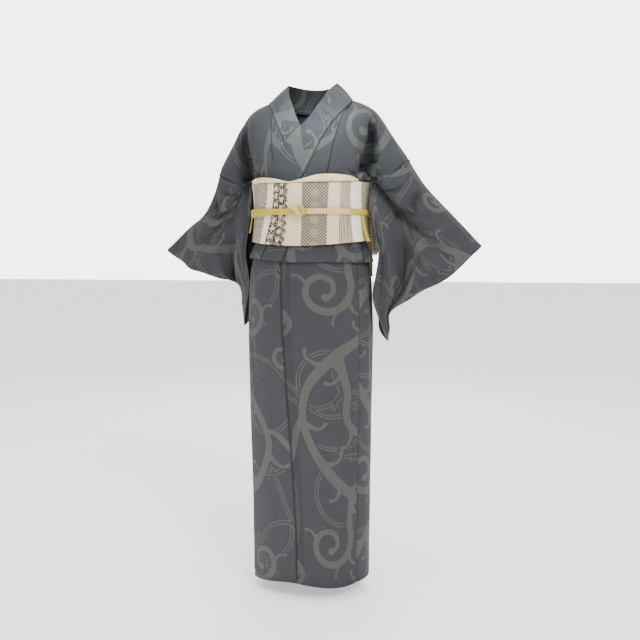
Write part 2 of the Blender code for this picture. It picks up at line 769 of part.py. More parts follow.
def build_collar(finish):
    """One long folded band, from the left end round the neck to the right end underneath."""
    left = collar_front_rows("left") + collar_sash_rows("left")
    left += fold_rows(
        lambda h: over_place(0, h),
        lambda h: over_place(1, h) - SEAM_GAP / 2,
        COLLAR_COLUMNS,
    )
    right = collar_front_rows("right") + collar_sash_rows("right")
    grid = np.array(list(reversed(left)) + collar_nape_rows() + right)
    return cloth_wall("collar", grid, COLLAR_WALL, finish, CHEST_MIDDLE)


FREE_FRONT_SHARES = (0.40, 0.48, 0.56, 0.64, 0.72, 0.80, 0.87, 0.94, 1.0)
FREE_BACK_SHARES = (0.42, 0.52, 0.62, 0.72, 0.81, 0.90, 1.0)
SLEEVE_COLUMNS = (0.0, 0.10, 0.20, 0.25, 0.30, 0.35, 0.40, 0.45, 0.50, 0.56, 0.63, 0.71, 0.80, 0.90, 1.0)
CUFF_HALF_DEPTH = 0.022
SEWN_HALF_DEPTH = 0.0026
CUFF_SHARE = 0.45


def sleeve_point(side, face, share, column):
    """Point of a sleeve: share runs down the cloth and column from the body to the cuff.

    The columns follow the main fold, so that its ridge and its valley each keep one column.
    """
    fold = smooth(SLEEVE_FOLD, share)
    ridge_at = fold[..., 0]
    past = (column - RIDGE_COLUMN) / (1 - RIDGE_COLUMN)
    across = np.where(column < RIDGE_COLUMN, ridge_at * column / RIDGE_COLUMN, mix(ridge_at, 1.0, past))
    hold = ease(column / 0.15) * (1 - ease((column - 0.75) / 0.25))
    ridge = fold[..., 1] * np.exp(-((column - RIDGE_COLUMN) / RIDGE_SPREAD)**2) * hold
    valley = fold[..., 2] * np.exp(-((column - VALLEY_COLUMN) / VALLEY_SPREAD)**2) * hold
    sign = 1.0 if side == "left" else -1.0
    turn = np.array([sign, 1.0, 1.0])
    inner = smooth(SLEEVE_INNER[(side, face)], share)
    outer = smooth(SLEEVE_OUTER[side], share)
    toward = -1.0 if face == "front" else 1.0
    open_depth = CUFF_HALF_DEPTH * (1 - ease((share - CUFF_SHARE) / 0.12))
    depth = (open_depth + SEWN_HALF_DEPTH) * np.sqrt(np.clip(share / 0.05, 0.0, 1.0))
    outer = outer + point(0.0 * depth, toward * depth, 0.0 * depth)
    top = smooth(SLEEVE_TOP[side], across)
    ends = smooth(SLEEVE_TOP[side], np.array([0.0, 1.0]))
    bow = top - mix(ends[0], ends[1], across[..., None])
    place = mix(inner, outer, across[..., None]) + bow * ((1 - share)**3)[..., None]
    push = valley - ridge
    return (place + point(0.0 * push, push, 0.0 * push)) * turn


def build_sleeve(side, finish):
    """A bag of cloth: front and back layers from one piece folded over the arm."""
    lines = []
    seam = {}
    column = np.array(SLEEVE_COLUMNS)
    sewn = [share * SLEEVE_SEAM_SHARE for share in ROW_SHARES]
    loop = [("front", share) for share in sewn + list(FREE_FRONT_SHARES)]
    loop += [("back", share) for share in reversed(sewn[1:] + list(FREE_BACK_SHARES))]
    for row, (face, share) in enumerate(loop):
        lines.append(sleeve_point(side, face, np.full_like(column, share), column))
        if share <= SLEEVE_SEAM_SHARE:
            seam[row] = seam_normal(side, face, share)
    return tube_of_cloth("sleeve_" + side, np.array(lines), WALL, finish, seam)


def tube_of_cloth(name, grid, wall, finish, first_normals):
    """Close a loop of rows into a tube whose wall lies inward."""
    normal = surface_normals(grid, True)
    centre = grid.mean(axis=0, keepdims=True)
    outward = np.sum(normal * (grid - centre), axis=2).mean()
    if outward > 0:
        normal = -normal
    for row, away in first_normals.items():
        normal[row, 0] = -away
    return wall_between(name, grid, grid + normal * wall, finish)


def wall_between(name, outer, inner, finish):
    """Close two equal loops of rows into one solid."""
    rows, columns = outer.shape[:2]
    points = np.concatenate([outer.reshape(-1, 3), inner.reshape(-1, 3)])
    shift = rows * columns
    faces = []
    for r in range(rows):
        a = r * columns
        d = ((r + 1) % rows) * columns
        for c in range(columns - 1):
            faces.append((a + c, a + c + 1, d + c + 1, d + c))
            faces.append((a + c + shift, d + c + shift, d + c + 1 + shift, a + c + 1 + shift))
        faces.append((a, d, d + shift, a + shift))
        e = columns - 1
        faces.append((a + e, a + e + shift, d + e + shift, d + e))
    return add_object(name, points, faces, finish)


SASH_TURN_STEPS = 44
SASH_FIRST_OFFSET = 0.0106
SASH_STEP = 0.0037
SASH_OUTSIDE = SASH_FIRST_OFFSET + 2 * SASH_STEP


def sash_edges(angle):
    """Top and lower edge of the sash at an angle round the figure."""
    side = math.sin(angle)**2 if math.cos(angle) > 0 else 1.0
    return mix(SASH_TOP_FRONT, SASH_TOP_SIDE, side), mix(SASH_LOW_FRONT, SASH_LOW_SIDE, side)


def build_sash(finish):
    """The sash goes twice round from the back, each turn on the last."""
    columns = 3
    lines = []
    for step in range(2 * SASH_TURN_STEPS + 1):
        angle = -math.pi + 2 * math.pi * step / SASH_TURN_STEPS
        offset = SASH_FIRST_OFFSET + SASH_STEP * step / SASH_TURN_STEPS
        folded = (angle + math.pi) % (2 * math.pi) - math.pi
        top, low = sash_edges(folded)
        level = np.linspace(low, top, columns)
        lines.append(on_figure(np.full(columns, folded), level, offset))
    return cloth_wall("obi_turns", np.array(lines), SASH_WALL, finish, SASH_MIDDLE)


BOW_HALF_WIDTH = 0.152
TAIL_HALF_WIDTH = 0.150
BOW_CURVE = 0.35
# Fore place of the bow's face where the cord crosses it
BOW_FACE = 0.1893
# Bow's drum in profile, from inside its top, over, down its face and up inside: fore, height
BOW_PROFILE = (
    (0.1154, -0.238), (0.1185, -0.205), (0.1270, -0.172), (0.1400, -0.1508), (0.1580, -0.1462),
    (0.1740, -0.158), (0.1830, -0.185), (0.1880, -0.235), (0.1890, -0.300), (0.1850, -0.360),
    (0.1800, -0.390), (0.1700, -0.401), (0.1600, -0.396), (0.1550, -0.375), (0.1530, -0.330),
    (0.1520, -0.285),
)
# Tail below the drum: fore, height
TAIL_PROFILE = (
    (0.1150, -0.320), (0.1235, -0.345), (0.1340, -0.372), (0.1400, -0.405), (0.1430, -0.462),
)
HAND_LEVELS = (-0.362, -0.306)
HAND_FORE = 0.1583
HAND_HALF_LENGTH = 0.180
HAND_THICKNESS = 0.005


def build_bow(finish):
    """Square drum bow at the back, its tail and the folded hand end through it."""
    for name, profile, half in (
        ("obi_drum", BOW_PROFILE, BOW_HALF_WIDTH), ("obi_tail", TAIL_PROFILE, TAIL_HALF_WIDTH),
    ):
        out = np.linspace(-half, half, 9)
        lines = []
        for fore, height in profile:
            lines.append(point(out, fore - BOW_CURVE * out**2, np.full_like(out, height)))
        cloth_wall(name, np.array(lines), SASH_WALL, finish, BOW_MIDDLE)
    rings = []
    for out in np.linspace(-HAND_HALF_LENGTH, HAND_HALF_LENGTH, 9):
        fore = HAND_FORE - BOW_CURVE * out**2
        low, high = HAND_LEVELS
        rings.append(np.array([
            (out, fore, low), (out, fore + HAND_THICKNESS, low),
            (out, fore + HAND_THICKNESS, high), (out, fore, high),
        ]))
    rounded_roll("obi_hand", rings, finish)


# Scarf above the sash: girth place, height of the swell, depth of the swell
SCARF_SWELL = (
    (-0.155, 0.003, 0.006), (-0.140, 0.013, 0.012), (-0.100, 0.022, 0.018), (-0.055, 0.016, 0.016),
    (-0.020, 0.004, 0.010), (0.010, 0.012, 0.013), (0.045, 0.024, 0.020), (0.085, 0.023, 0.019),
    (0.125, 0.016, 0.015), (0.155, 0.004, 0.006),
)
SCARF_HALF_LENGTH = 0.150
SCARF_LEVEL = -0.21
SCARF_OFFSET = 0.0098
SCARF_GAP = 0.0006
# Cover of the bow pad: fore place, top, half length, and half sizes at its ends and added at its middle
PAD_FORE = 0.1535
PAD_TOP = -0.1518
PAD_HALF_LENGTH = 0.135
PAD_SPAN = 0.140
PAD_END = 0.006
PAD_DEEP = 0.013
PAD_TALL = 0.015


def oval(centre, wide, tall, count, away, up):
    """Ring of points on an oval round a centre."""
    ring = []
    for k in range(count):
        angle = 2 * math.pi * k / count
        ring.append(np.asarray(centre) + away * (wide * math.cos(angle)) + up * (tall * math.sin(angle)))
    return np.array(ring)


def build_scarf(finish):
    """Soft roll of the sash scarf that swells above the sash in front, and its cover on the bow pad."""
    rings = []
    up = np.array([0.0, 0.0, 1.0])
    for place in np.linspace(-SCARF_HALF_LENGTH, SCARF_HALF_LENGTH, 27):
        tall, deep = smooth(SCARF_SWELL, np.array([place]))[0]
        angle = float(girth_angle(place, SCARF_LEVEL))
        top = sash_edges(angle)[0]
        away = np.array([math.sin(angle), -math.cos(angle), 0.0])
        base = on_figure(np.array([angle]), np.array([top]), SCARF_OFFSET)[0]
        centre = base + away * (deep / 2) + up * (tall / 2 + SCARF_GAP)
        rings.append(oval(centre, deep / 2, tall / 2, 10, away, up))
    rounded_roll("obiage_front", rings, finish)
    rings = []
    for out in np.linspace(-PAD_HALF_LENGTH, PAD_HALF_LENGTH, 15):
        swell = math.sqrt(max(1 - (out / PAD_SPAN)**2, 0.0))
        tall = PAD_END + PAD_TALL * swell
        centre = np.array([out, PAD_FORE - BOW_CURVE * out**2, PAD_TOP - tall])
        rings.append(oval(centre, PAD_END + PAD_DEEP * swell, tall, 10, np.array([0.0, 1.0, 0.0]), up))
    rounded_roll("obiage_pad", rings, finish)


CORD_HALF_WIDTH = 0.0075
CORD_THICKNESS = 0.0048
# Gap between the cord and the sash, and between the knot and the cord
CORD_GAP = 0.0004
# How far the cord clears the bow's face beyond that gap
FACE_GAP = 0.0006
# Knot: half length, half span of its rounding, half sizes at its ends and added at its middle,
# and how far its middle lies before the cord
KNOT_HALF_LENGTH = 0.021
KNOT_SPAN = 0.0225
KNOT_DEEP = (0.003, 0.0052)
KNOT_TALL = (0.006, 0.0085)
KNOT_FORE = 0.0084
KNOT_SHIFT = (0.004, 0.002)
# Ends of the cord: name, degrees round the sash, length, half width, how far the tip swings out
CORD_ENDS = (
    ("obijime_end_left", 70.0, 0.066, 0.006, 0.012),
    ("obijime_end_right", -70.0, 0.050, 0.005, 0.004),
)
END_OFFSET = 0.0030
END_HALF_THICKNESS = 0.0018


def cord_path():
    """Middle of the sash cord: round the sash in front and over the bow's face behind."""
    path = []
    clear = CORD_GAP + CORD_THICKNESS / 2
    for degrees in range(-96, 97, 8):
        angle = math.radians(degrees)
        place = on_figure(np.array([angle]), np.array([CORD_LEVEL]), SASH_OUTSIDE + clear)[0]
        path.append(place)
    side = path[-1]
    corner_fore = BOW_FACE - BOW_CURVE * BOW_HALF_WIDTH**2
    for fore in (0.060, 0.105, 0.150):
        path.append(np.array([mix(side[0], BOW_HALF_WIDTH + 0.006, fore / 0.150), fore, CORD_LEVEL]))
    path.append(np.array([BOW_HALF_WIDTH + 0.0050, corner_fore - 0.004, CORD_LEVEL]))
    path.append(np.array([BOW_HALF_WIDTH + 0.0036, corner_fore + 0.003, CORD_LEVEL]))
    for out in np.linspace(BOW_HALF_WIDTH - 0.004, -BOW_HALF_WIDTH + 0.004, 9):
        path.append(np.array([out, BOW_FACE - BOW_CURVE * out**2 + clear + FACE_GAP, CORD_LEVEL]))
    path.append(np.array([-BOW_HALF_WIDTH - 0.0036, corner_fore + 0.003, CORD_LEVEL]))
    path.append(np.array([-BOW_HALF_WIDTH - 0.0050, corner_fore - 0.004, CORD_LEVEL]))
    for fore in (0.150, 0.105, 0.060):
        path.append(np.array([-mix(side[0], BOW_HALF_WIDTH + 0.006, fore / 0.150), fore, CORD_LEVEL]))
    return np.array(path)


def build_cord(finish):
    """Flat braided sash cord, its knot in front and its two tucked ends."""
    path = cord_path()
    ahead = np.roll(path, -1, axis=0) - np.roll(path, 1, axis=0)
    rings = []
    up = np.array([0.0, 0.0, 1.0])
    for place, along in zip(path, ahead):
        away = np.cross(along, up)
        away /= np.linalg.norm(away)
        rings.append(oval(place, CORD_THICKNESS / 2, CORD_HALF_WIDTH, 8, away, up))
    closed_ring("obijime", rings, finish)
    front = on_figure(np.array([0.0]), np.array([CORD_LEVEL]), SASH_OUTSIDE)[0]
    rings = []
    knot_fore = front[1] - CORD_THICKNESS - CORD_GAP - KNOT_FORE
    for out in np.linspace(-KNOT_HALF_LENGTH, KNOT_HALF_LENGTH, 9):
        swell = math.sqrt(max(1 - (out / KNOT_SPAN)**2, 0.0))
        centre = np.array([out + KNOT_SHIFT[0], knot_fore, CORD_LEVEL + KNOT_SHIFT[1]])
        deep = KNOT_DEEP[0] + KNOT_DEEP[1] * swell
        tall = KNOT_TALL[0] + KNOT_TALL[1] * swell
        rings.append(oval(centre, deep, tall, 10, np.array([0.0, 1.0, 0.0]), up))
    rounded_roll("obijime_knot", rings, finish)
    for name, degrees, length, wide, drift in CORD_ENDS:
        rings = []
        angle = math.radians(degrees)
        away = np.array([math.sin(angle), -math.cos(angle), 0.0])
        along = np.array([math.cos(angle), math.sin(angle), 0.0])
        for share in np.linspace(0.0, 1.0, 6):
            level = CORD_LEVEL - CORD_HALF_WIDTH - FACE_GAP - length * share
            place = on_figure(np.array([angle]), np.array([level]), SASH_OUTSIDE + END_OFFSET)[0]
            place = place + away * drift * share**1.5
            half = wide * (0.75 + 0.35 * share)
            rings.append(oval(place, END_HALF_THICKNESS, half, 8, away, along))
        rounded_roll(name, rings, finish)


def main():
    """Build every piece."""
    clear_scene()
    cloth = make_material("kimono_cloth", (0.085, 0.09, 0.10), 0.75)
    sash = make_material("sash_cloth", (0.78, 0.74, 0.64), 0.7)
    scarf = make_material("scarf_cloth", (0.86, 0.80, 0.62), 0.6)
    cord = make_material("cord_braid", (0.80, 0.66, 0.22), 0.6)
    build_skirt(cloth)
    for side in ("left", "right"):
        build_upper(side, cloth)
        build_okumi_upper(side, cloth)
        build_sleeve(side, cloth)
    build_collar(cloth)
    build_sash(sash)
    build_bow(sash)
    build_scarf(scarf)
    build_cord(cord)


main()
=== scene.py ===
"""Dressed look of an unlined kimono with its sash, drum bow, sash scarf and sash cord.

Metres, +Z up. The wearer faces -Y and the wearer's left is +X. Each length of cloth is laid
out on the same figure as the solids, on a finer grid, and is then creased and patterned.
"""

import logging
import math
from collections.abc import Callable
from dataclasses import dataclass, field
from enum import Enum, IntEnum

import bpy
import numpy as np
from mathutils import Matrix, Vector, kdtree


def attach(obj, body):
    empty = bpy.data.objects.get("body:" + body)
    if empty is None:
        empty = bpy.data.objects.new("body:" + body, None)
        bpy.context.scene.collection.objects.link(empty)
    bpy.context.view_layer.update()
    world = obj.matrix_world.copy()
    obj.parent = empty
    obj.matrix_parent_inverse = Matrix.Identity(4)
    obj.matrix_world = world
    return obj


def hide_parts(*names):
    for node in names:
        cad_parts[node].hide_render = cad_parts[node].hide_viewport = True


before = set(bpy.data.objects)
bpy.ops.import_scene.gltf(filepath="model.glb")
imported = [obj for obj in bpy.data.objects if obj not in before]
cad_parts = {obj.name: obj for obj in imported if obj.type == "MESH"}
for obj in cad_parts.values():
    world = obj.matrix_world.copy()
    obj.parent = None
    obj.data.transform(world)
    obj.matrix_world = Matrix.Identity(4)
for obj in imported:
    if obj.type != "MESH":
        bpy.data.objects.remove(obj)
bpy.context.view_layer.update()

logging.basicConfig(level=logging.INFO, format="%(message)s")
LOG = logging.getLogger("kimono")

Array = np.ndarray
Colour = tuple[float, float, float]
WHITE = (1.0, 1.0, 1.0)
UP = np.array([0.0, 0.0, 1.0])
BACKWARD = np.array([0.0, 1.0, 0.0])


class Side(Enum):
    """The wearer's side that a piece belongs to."""

    LEFT = "left"
    RIGHT = "right"

    @property
    def sign(self) -> float:
        """Direction of the side along X."""
        return 1.0 if self is Side.LEFT else -1.0


class Face(Enum):
    """Front or back layer of the body or of a sleeve."""

    FRONT = "front"
    BACK = "back"


class Hold(Enum):
    """How a sheet of cloth is held."""

    DRAPED = "draped"
    HUNG = "hung"
    GATHERED = "gathered"
    FOLDED = "folded"
    STRETCHED = "stretched"


class Seam(IntEnum):
    """Column of an edge or a seam in the body's table of girth places."""

    COLLAR_EDGE = 0
    COLLAR = 1
    OKUMI = 2
    SIDE = 3


def stretch(keys: Array, at: Array) -> tuple[Array, Array]:
    """Stretch between keys that holds each place, and the place's share of it."""
    row = np.clip(np.searchsorted(keys, at) - 1, 0, len(keys) - 2)
    return row, (at - keys[row]) / (keys[row + 1] - keys[row])


def curve(start: Array, leave: Array, end: Array, arrive: Array, t: Array) -> Array:
    """Go smoothly from start to end by a share t, with given slopes at the two ends."""
    low = start * (2 * t**3 - 3 * t**2 + 1) + leave * (t**3 - 2 * t**2 + t)
    return low + (end * (3 * t**2 - 2 * t**3) + arrive * (t**3 - t**2))


def between(table: Array, keys: Array, at: Array) -> Array:
    """Read rows of values on a smooth curve through them.

    Args:
        table: Values, one row for each key.
        keys: Rising keys of the rows.
        at: Places to read at.

    Returns:
        One row of values for each place.
    """
    at = np.clip(np.asarray(at, float), keys[0], keys[-1])
    slopes = np.gradient(table, keys, axis=0)
    row, share = stretch(keys, at)
    extra = (..., *(None,) * (table.ndim - 1))
    span = (keys[row + 1] - keys[row])[extra]
    return curve(table[row], slopes[row] * span, table[row + 1], slopes[row + 1] * span, share[extra])


def straight(table: Array, keys: Array, at: Array) -> Array:
    """Read rows of places on straight lines between them."""
    row, share = stretch(keys, at)
    return mix(table[row], table[row + 1], share[:, None, None])


def smooth(table: tuple, at: Array) -> Array:
    """Read a table whose first column is the key, rising or falling.

    Args:
        table: Rows of a key and its values.
        at: Keys to read at.

    Returns:
        The values at those keys, on a smooth curve.
    """
    rows = np.asarray(table, float)
    if rows[0, 0] > rows[-1, 0]:
        rows = rows[::-1]
    return between(rows[:, 1:], rows[:, 0], at)


def entry(table: tuple, key: float) -> Array:
    """Values of a table at one key."""
    return smooth(table, np.array([key]))[0]


def bell(value: Array, middle: Array, width: Array) -> Array:
    """1 at the middle, falling off smoothly to both sides over a width."""
    return np.exp(-(((value - middle) / width) ** 2))


def ease(value: Array) -> Array:
    """Rise smoothly from 0 to 1."""
    value = np.clip(value, 0.0, 1.0)
    return value * value * (3 - 2 * value)


def mix(low: Array, high: Array, share: Array) -> Array:
    """Go from low to high by a share."""
    return low + (high - low) * share


def point(x: Array, y: Array, z: Array) -> Array:
    """Join coordinates of any shapes into points."""
    return np.stack(np.broadcast_arrays(x, y, z), axis=-1).astype(float)


def stops(keys: Array, spacing: float) -> Array:
    """Divide each stretch between keys into equal steps.

    Args:
        keys: Rising keys.
        spacing: Longest step.

    Returns:
        The keys and the places between them.
    """
    found = [keys[:1]]
    for low, high in zip(keys[:-1], keys[1:]):
        count = max(1, math.ceil((high - low) / spacing))
        found.append(np.linspace(low, high, count + 1)[1:])
    return np.concatenate(found)


def running(steps: Array) -> Array:
    """Running sum of steps, from zero."""
    return np.concatenate(([0.0], np.cumsum(steps)))


def walked(line: Array) -> Array:
    """Distance from the first point of a line along it to each of its points."""
    return running(np.linalg.norm(np.diff(line, axis=0), axis=1))


def travel(grid: Array) -> Array:
    """Mean distance travelled down the rows of a grid of points."""
    steps = np.linalg.norm(np.diff(grid, axis=0), axis=2).mean(axis=1)
    return running(np.maximum(steps, 1e-6))


def onward(rows: Array, closed: bool) -> Array:
    """Way ahead at each row, round the join where the last row is followed by the first."""
    if closed:
        return np.roll(rows, -1, axis=0) - np.roll(rows, 1, axis=0)
    return np.gradient(rows, axis=0)


def finer(grid: Array, places: Array, spacing: float, closed: bool = False) -> tuple[Array, Array]:
    """Lay a coarse grid of points out again on a finer one, on smooth curves.

    Args:
        grid: Coarse rows and columns of points.
        places: Cloth places of the same points, across and along.
        spacing: Longest step between the new points.
        closed: Whether the last row is followed by the first.

    Returns:
        The finer grid and its cloth places.
    """
    if closed:
        pad = 3
        ring = np.concatenate([grid[-pad:], grid, grid[:pad]])
        keys = travel(ring)
        inside = keys[pad : pad + len(grid) + 1]
        at = stops(inside, spacing)[:-1]
        own = np.concatenate([places, places[-1:] + (places[-1:] - places[-2:-1])])
        rows = between(ring, keys, at)
        flat = np.stack([np.interp(at, inside, own[:, 0, 1])] * places.shape[1], axis=1)
        across = np.broadcast_to(places[:1, :, 0], flat.shape)
        spots = np.stack([across, flat], axis=-1)
    else:
        keys = travel(grid)
        at = stops(keys, spacing)
        rows = between(grid, keys, at)
        spots = straight(places, keys, at)
    turned = np.swapaxes(rows, 0, 1)
    keys = travel(turned)
    at = stops(keys, spacing)
    spots = straight(np.swapaxes(spots, 0, 1), keys, at)
    return np.swapaxes(between(turned, keys, at), 0, 1), np.swapaxes(spots, 0, 1)


def inward(grid: Array, middle: tuple, closed: bool = False) -> Array:
    """Unit normals of a grid that look towards a place.

    Args:
        grid: Rows and columns of points.
        middle: The place that most normals face.
        closed: Whether the last row is followed by the first.

    Returns:
        One normal for each point.
    """
    normal = np.cross(np.gradient(grid, axis=1), onward(grid, closed))
    normal /= np.maximum(np.linalg.norm(normal, axis=2, keepdims=True), 1e-9)
    facing = np.sum(normal * (np.asarray(middle, float) - grid), axis=2).mean()
    return -normal if facing < 0 else normal


@dataclass(frozen=True)
class Figure:
    """The dressed figure that the cloth is wrapped round."""

    # height, half width, depth in front, depth behind
    sections: tuple = (
        (0.060, 0.200, 0.080, 0.100), (-0.030, 0.196, 0.106, 0.110), (-0.100, 0.178, 0.122, 0.112),
        (-0.160, 0.158, 0.125, 0.106), (-0.215, 0.143, 0.119, 0.098), (-0.300, 0.139, 0.112, 0.094),
        (-0.365, 0.144, 0.114, 0.102), (-0.440, 0.159, 0.120, 0.116), (-0.550, 0.166, 0.125, 0.124),
        (-0.750, 0.166, 0.124, 0.122), (-1.000, 0.163, 0.121, 0.116), (-1.266, 0.160, 0.119, 0.112),
    )
    # distance out, height
    shoulders: dict = field(default_factory=lambda: {
        Side.LEFT: (
            (0.000, 0.030), (0.070, 0.013), (0.112, 0.000), (0.145, -0.012),
            (0.177, -0.034), (0.220, -0.096), (0.262, -0.158), (0.300, -0.220),
        ),
        Side.RIGHT: (
            (0.000, 0.030), (0.070, 0.013), (0.112, 0.000), (0.145, -0.013),
            (0.171, -0.031), (0.220, -0.095), (0.267, -0.171), (0.290, -0.230),
        ),
    })
    set_back: dict = field(default_factory=lambda: {Side.LEFT: 0.0, Side.RIGHT: 0.030})
    # height, distance out, depth, half width of the pocket between chest and arm
    pocket: tuple = (
        (0.020, 0.174, 0.000, 0.010), (-0.050, 0.174, 0.004, 0.010), (-0.100, 0.172, 0.026, 0.013),
        (-0.150, 0.168, 0.044, 0.017), (-0.230, 0.172, 0.050, 0.018),
    )
    # how far down from the shoulder line the cloth comes to its full depth, at the middle and far out
    reach: dict = field(default_factory=lambda: {Face.FRONT: (0.20, 0.06), Face.BACK: (0.05, 0.07)})
    far_out: float = 0.20
    arm_depth: float = 0.047
    arm_low: float = -0.215
    arm_inner: float = 0.05
    set_back_from: float = 0.13
    steps: int = 241

    def _outline(self, height: float, offset: float) -> tuple[Array, Array]:
        """Walk round half of the figure from the front centre.

        Args:
            height: Level of the walk.
            offset: Distance off the figure.

        Returns:
            Angles round the figure, and the distance travelled to each.
        """
        half_width, front, back = entry(self.sections, height) + offset
        angles = np.linspace(0.0, math.pi, self.steps)
        depth = np.where(np.cos(angles) > 0, front, back)
        x = half_width * np.sin(angles)
        y = -depth * np.cos(angles)
        return angles, running(np.hypot(np.diff(x), np.diff(y)))

    def angle(self, distance: Array, height: float, offset: float = 0.0) -> Array:
        """Find the angle of a place on the figure.

        Args:
            distance: Distance round from the front centre, negative to the right.
            height: Height of the place.
            offset: Distance off the figure.

        Returns:
            The angle.
        """
        angles, along = self._outline(height, offset)
        distance = np.asarray(distance, float)
        return np.sign(distance) * np.interp(np.abs(distance), along, angles)

    def half_girth(self, height: float, offset: float = 0.0) -> float:
        """Distance from the front centre round to the back centre."""
        return float(self._outline(height, offset)[1][-1])

    def place(self, angle: Array, height: Array, offset: Array) -> Array:
        """Find a point by its angle round the figure.

        Args:
            angle: Angle from the front centre, negative to the right.
            height: Its height.
            offset: Its distance off the figure.

        Returns:
            The point.
        """
        section = smooth(self.sections, np.asarray(height, float))
        angle = np.asarray(angle, float)
        depth = np.where(np.cos(angle) > 0, section[..., 1], section[..., 2]) + offset
        x = (section[..., 0] + offset) * np.sin(angle)
        return point(x, -depth * np.cos(angle), height)

    def shoulder(self, side: Side, out: Array) -> Array:
        """Height of the shoulder line at a distance out."""
        return smooth(self.shoulders[side], out)[..., 0]

    def torso(self, side: Side, face: Face, out: Array, height: Array, offset: Array) -> Array:
        """Point of the worn body cloth above the sash.

        Args:
            side: The wearer's side.
            face: Front or back.
            out: Distance out from the middle.
            height: Height of the point.
            offset: Distance that the cloth lies off the figure.

        Returns:
            The point.
        """
        section = smooth(self.sections, height)
        centre = section[..., 1] if face is Face.FRONT else section[..., 2]
        chest = centre * np.sqrt(np.clip(1 - (out / section[..., 0]) ** 2, 0.0, None))
        arm = ease((height - self.arm_low) / 0.05) * ease((np.abs(out) - self.arm_inner) / 0.10)
        depth = (chest**4 + (self.arm_depth * arm) ** 4) ** 0.25
        reach = mix(*self.reach[face], ease(out / self.far_out))
        drop = np.clip((self.shoulder(side, out) - height) / reach, 0.0, 1.0)
        depth = depth * np.sqrt(1 - (1 - drop) ** 2) + offset
        back = self.set_back[side] * ease((out - self.set_back_from) / 0.12)
        if face is Face.BACK:
            return point(side.sign * out, back + depth, height)
        at = smooth(self.pocket, height)
        hollow = at[..., 1] * bell(out, at[..., 0], at[..., 2])
        return point(side.sign * out, back - depth + hollow, height)


FIGURE = Figure()


@dataclass(frozen=True)
class Crease:
    """A soft trough in the cloth with a slight swell on each side of it.

    Its ends are cloth places, across and along. The bend carries its middle sideways, the
    swell is a share of its depth, and the flare widens it from its start to its end.
    """

    start: tuple[float, float]
    end: tuple[float, float]
    depth: float
    width: float
    bend: float = 0.0
    swell: float = 0.45
    flare: float = 0.0
    fade_share: float = 0.3
    swell_at: float = 1.7
    swell_spread: float = 0.7

    def push(self, places: Array) -> Array:
        """How far the cloth is pushed in at each of its places.

        Args:
            places: Cloth places, across and along.

        Returns:
            The push at each place, in metres.
        """
        start = np.asarray(self.start)
        way = np.asarray(self.end) - start
        length = float(np.hypot(*way))
        way = way / length
        away = places - start
        along = (away @ way) / length
        side = away @ np.array([-way[1], way[0]]) - self.bend * 4 * along * (1 - along)
        fade = ease(along / self.fade_share) * ease((1 - along) / self.fade_share)
        near = side / (self.width * (1 + self.flare * (np.clip(along, 0.0, 1.0) - 0.5)))
        swell = np.exp(-((np.abs(near) - self.swell_at) ** 2) / self.swell_spread)
        return self.depth * fade * (bell(near, 0.0, 1.0) - self.swell * swell)


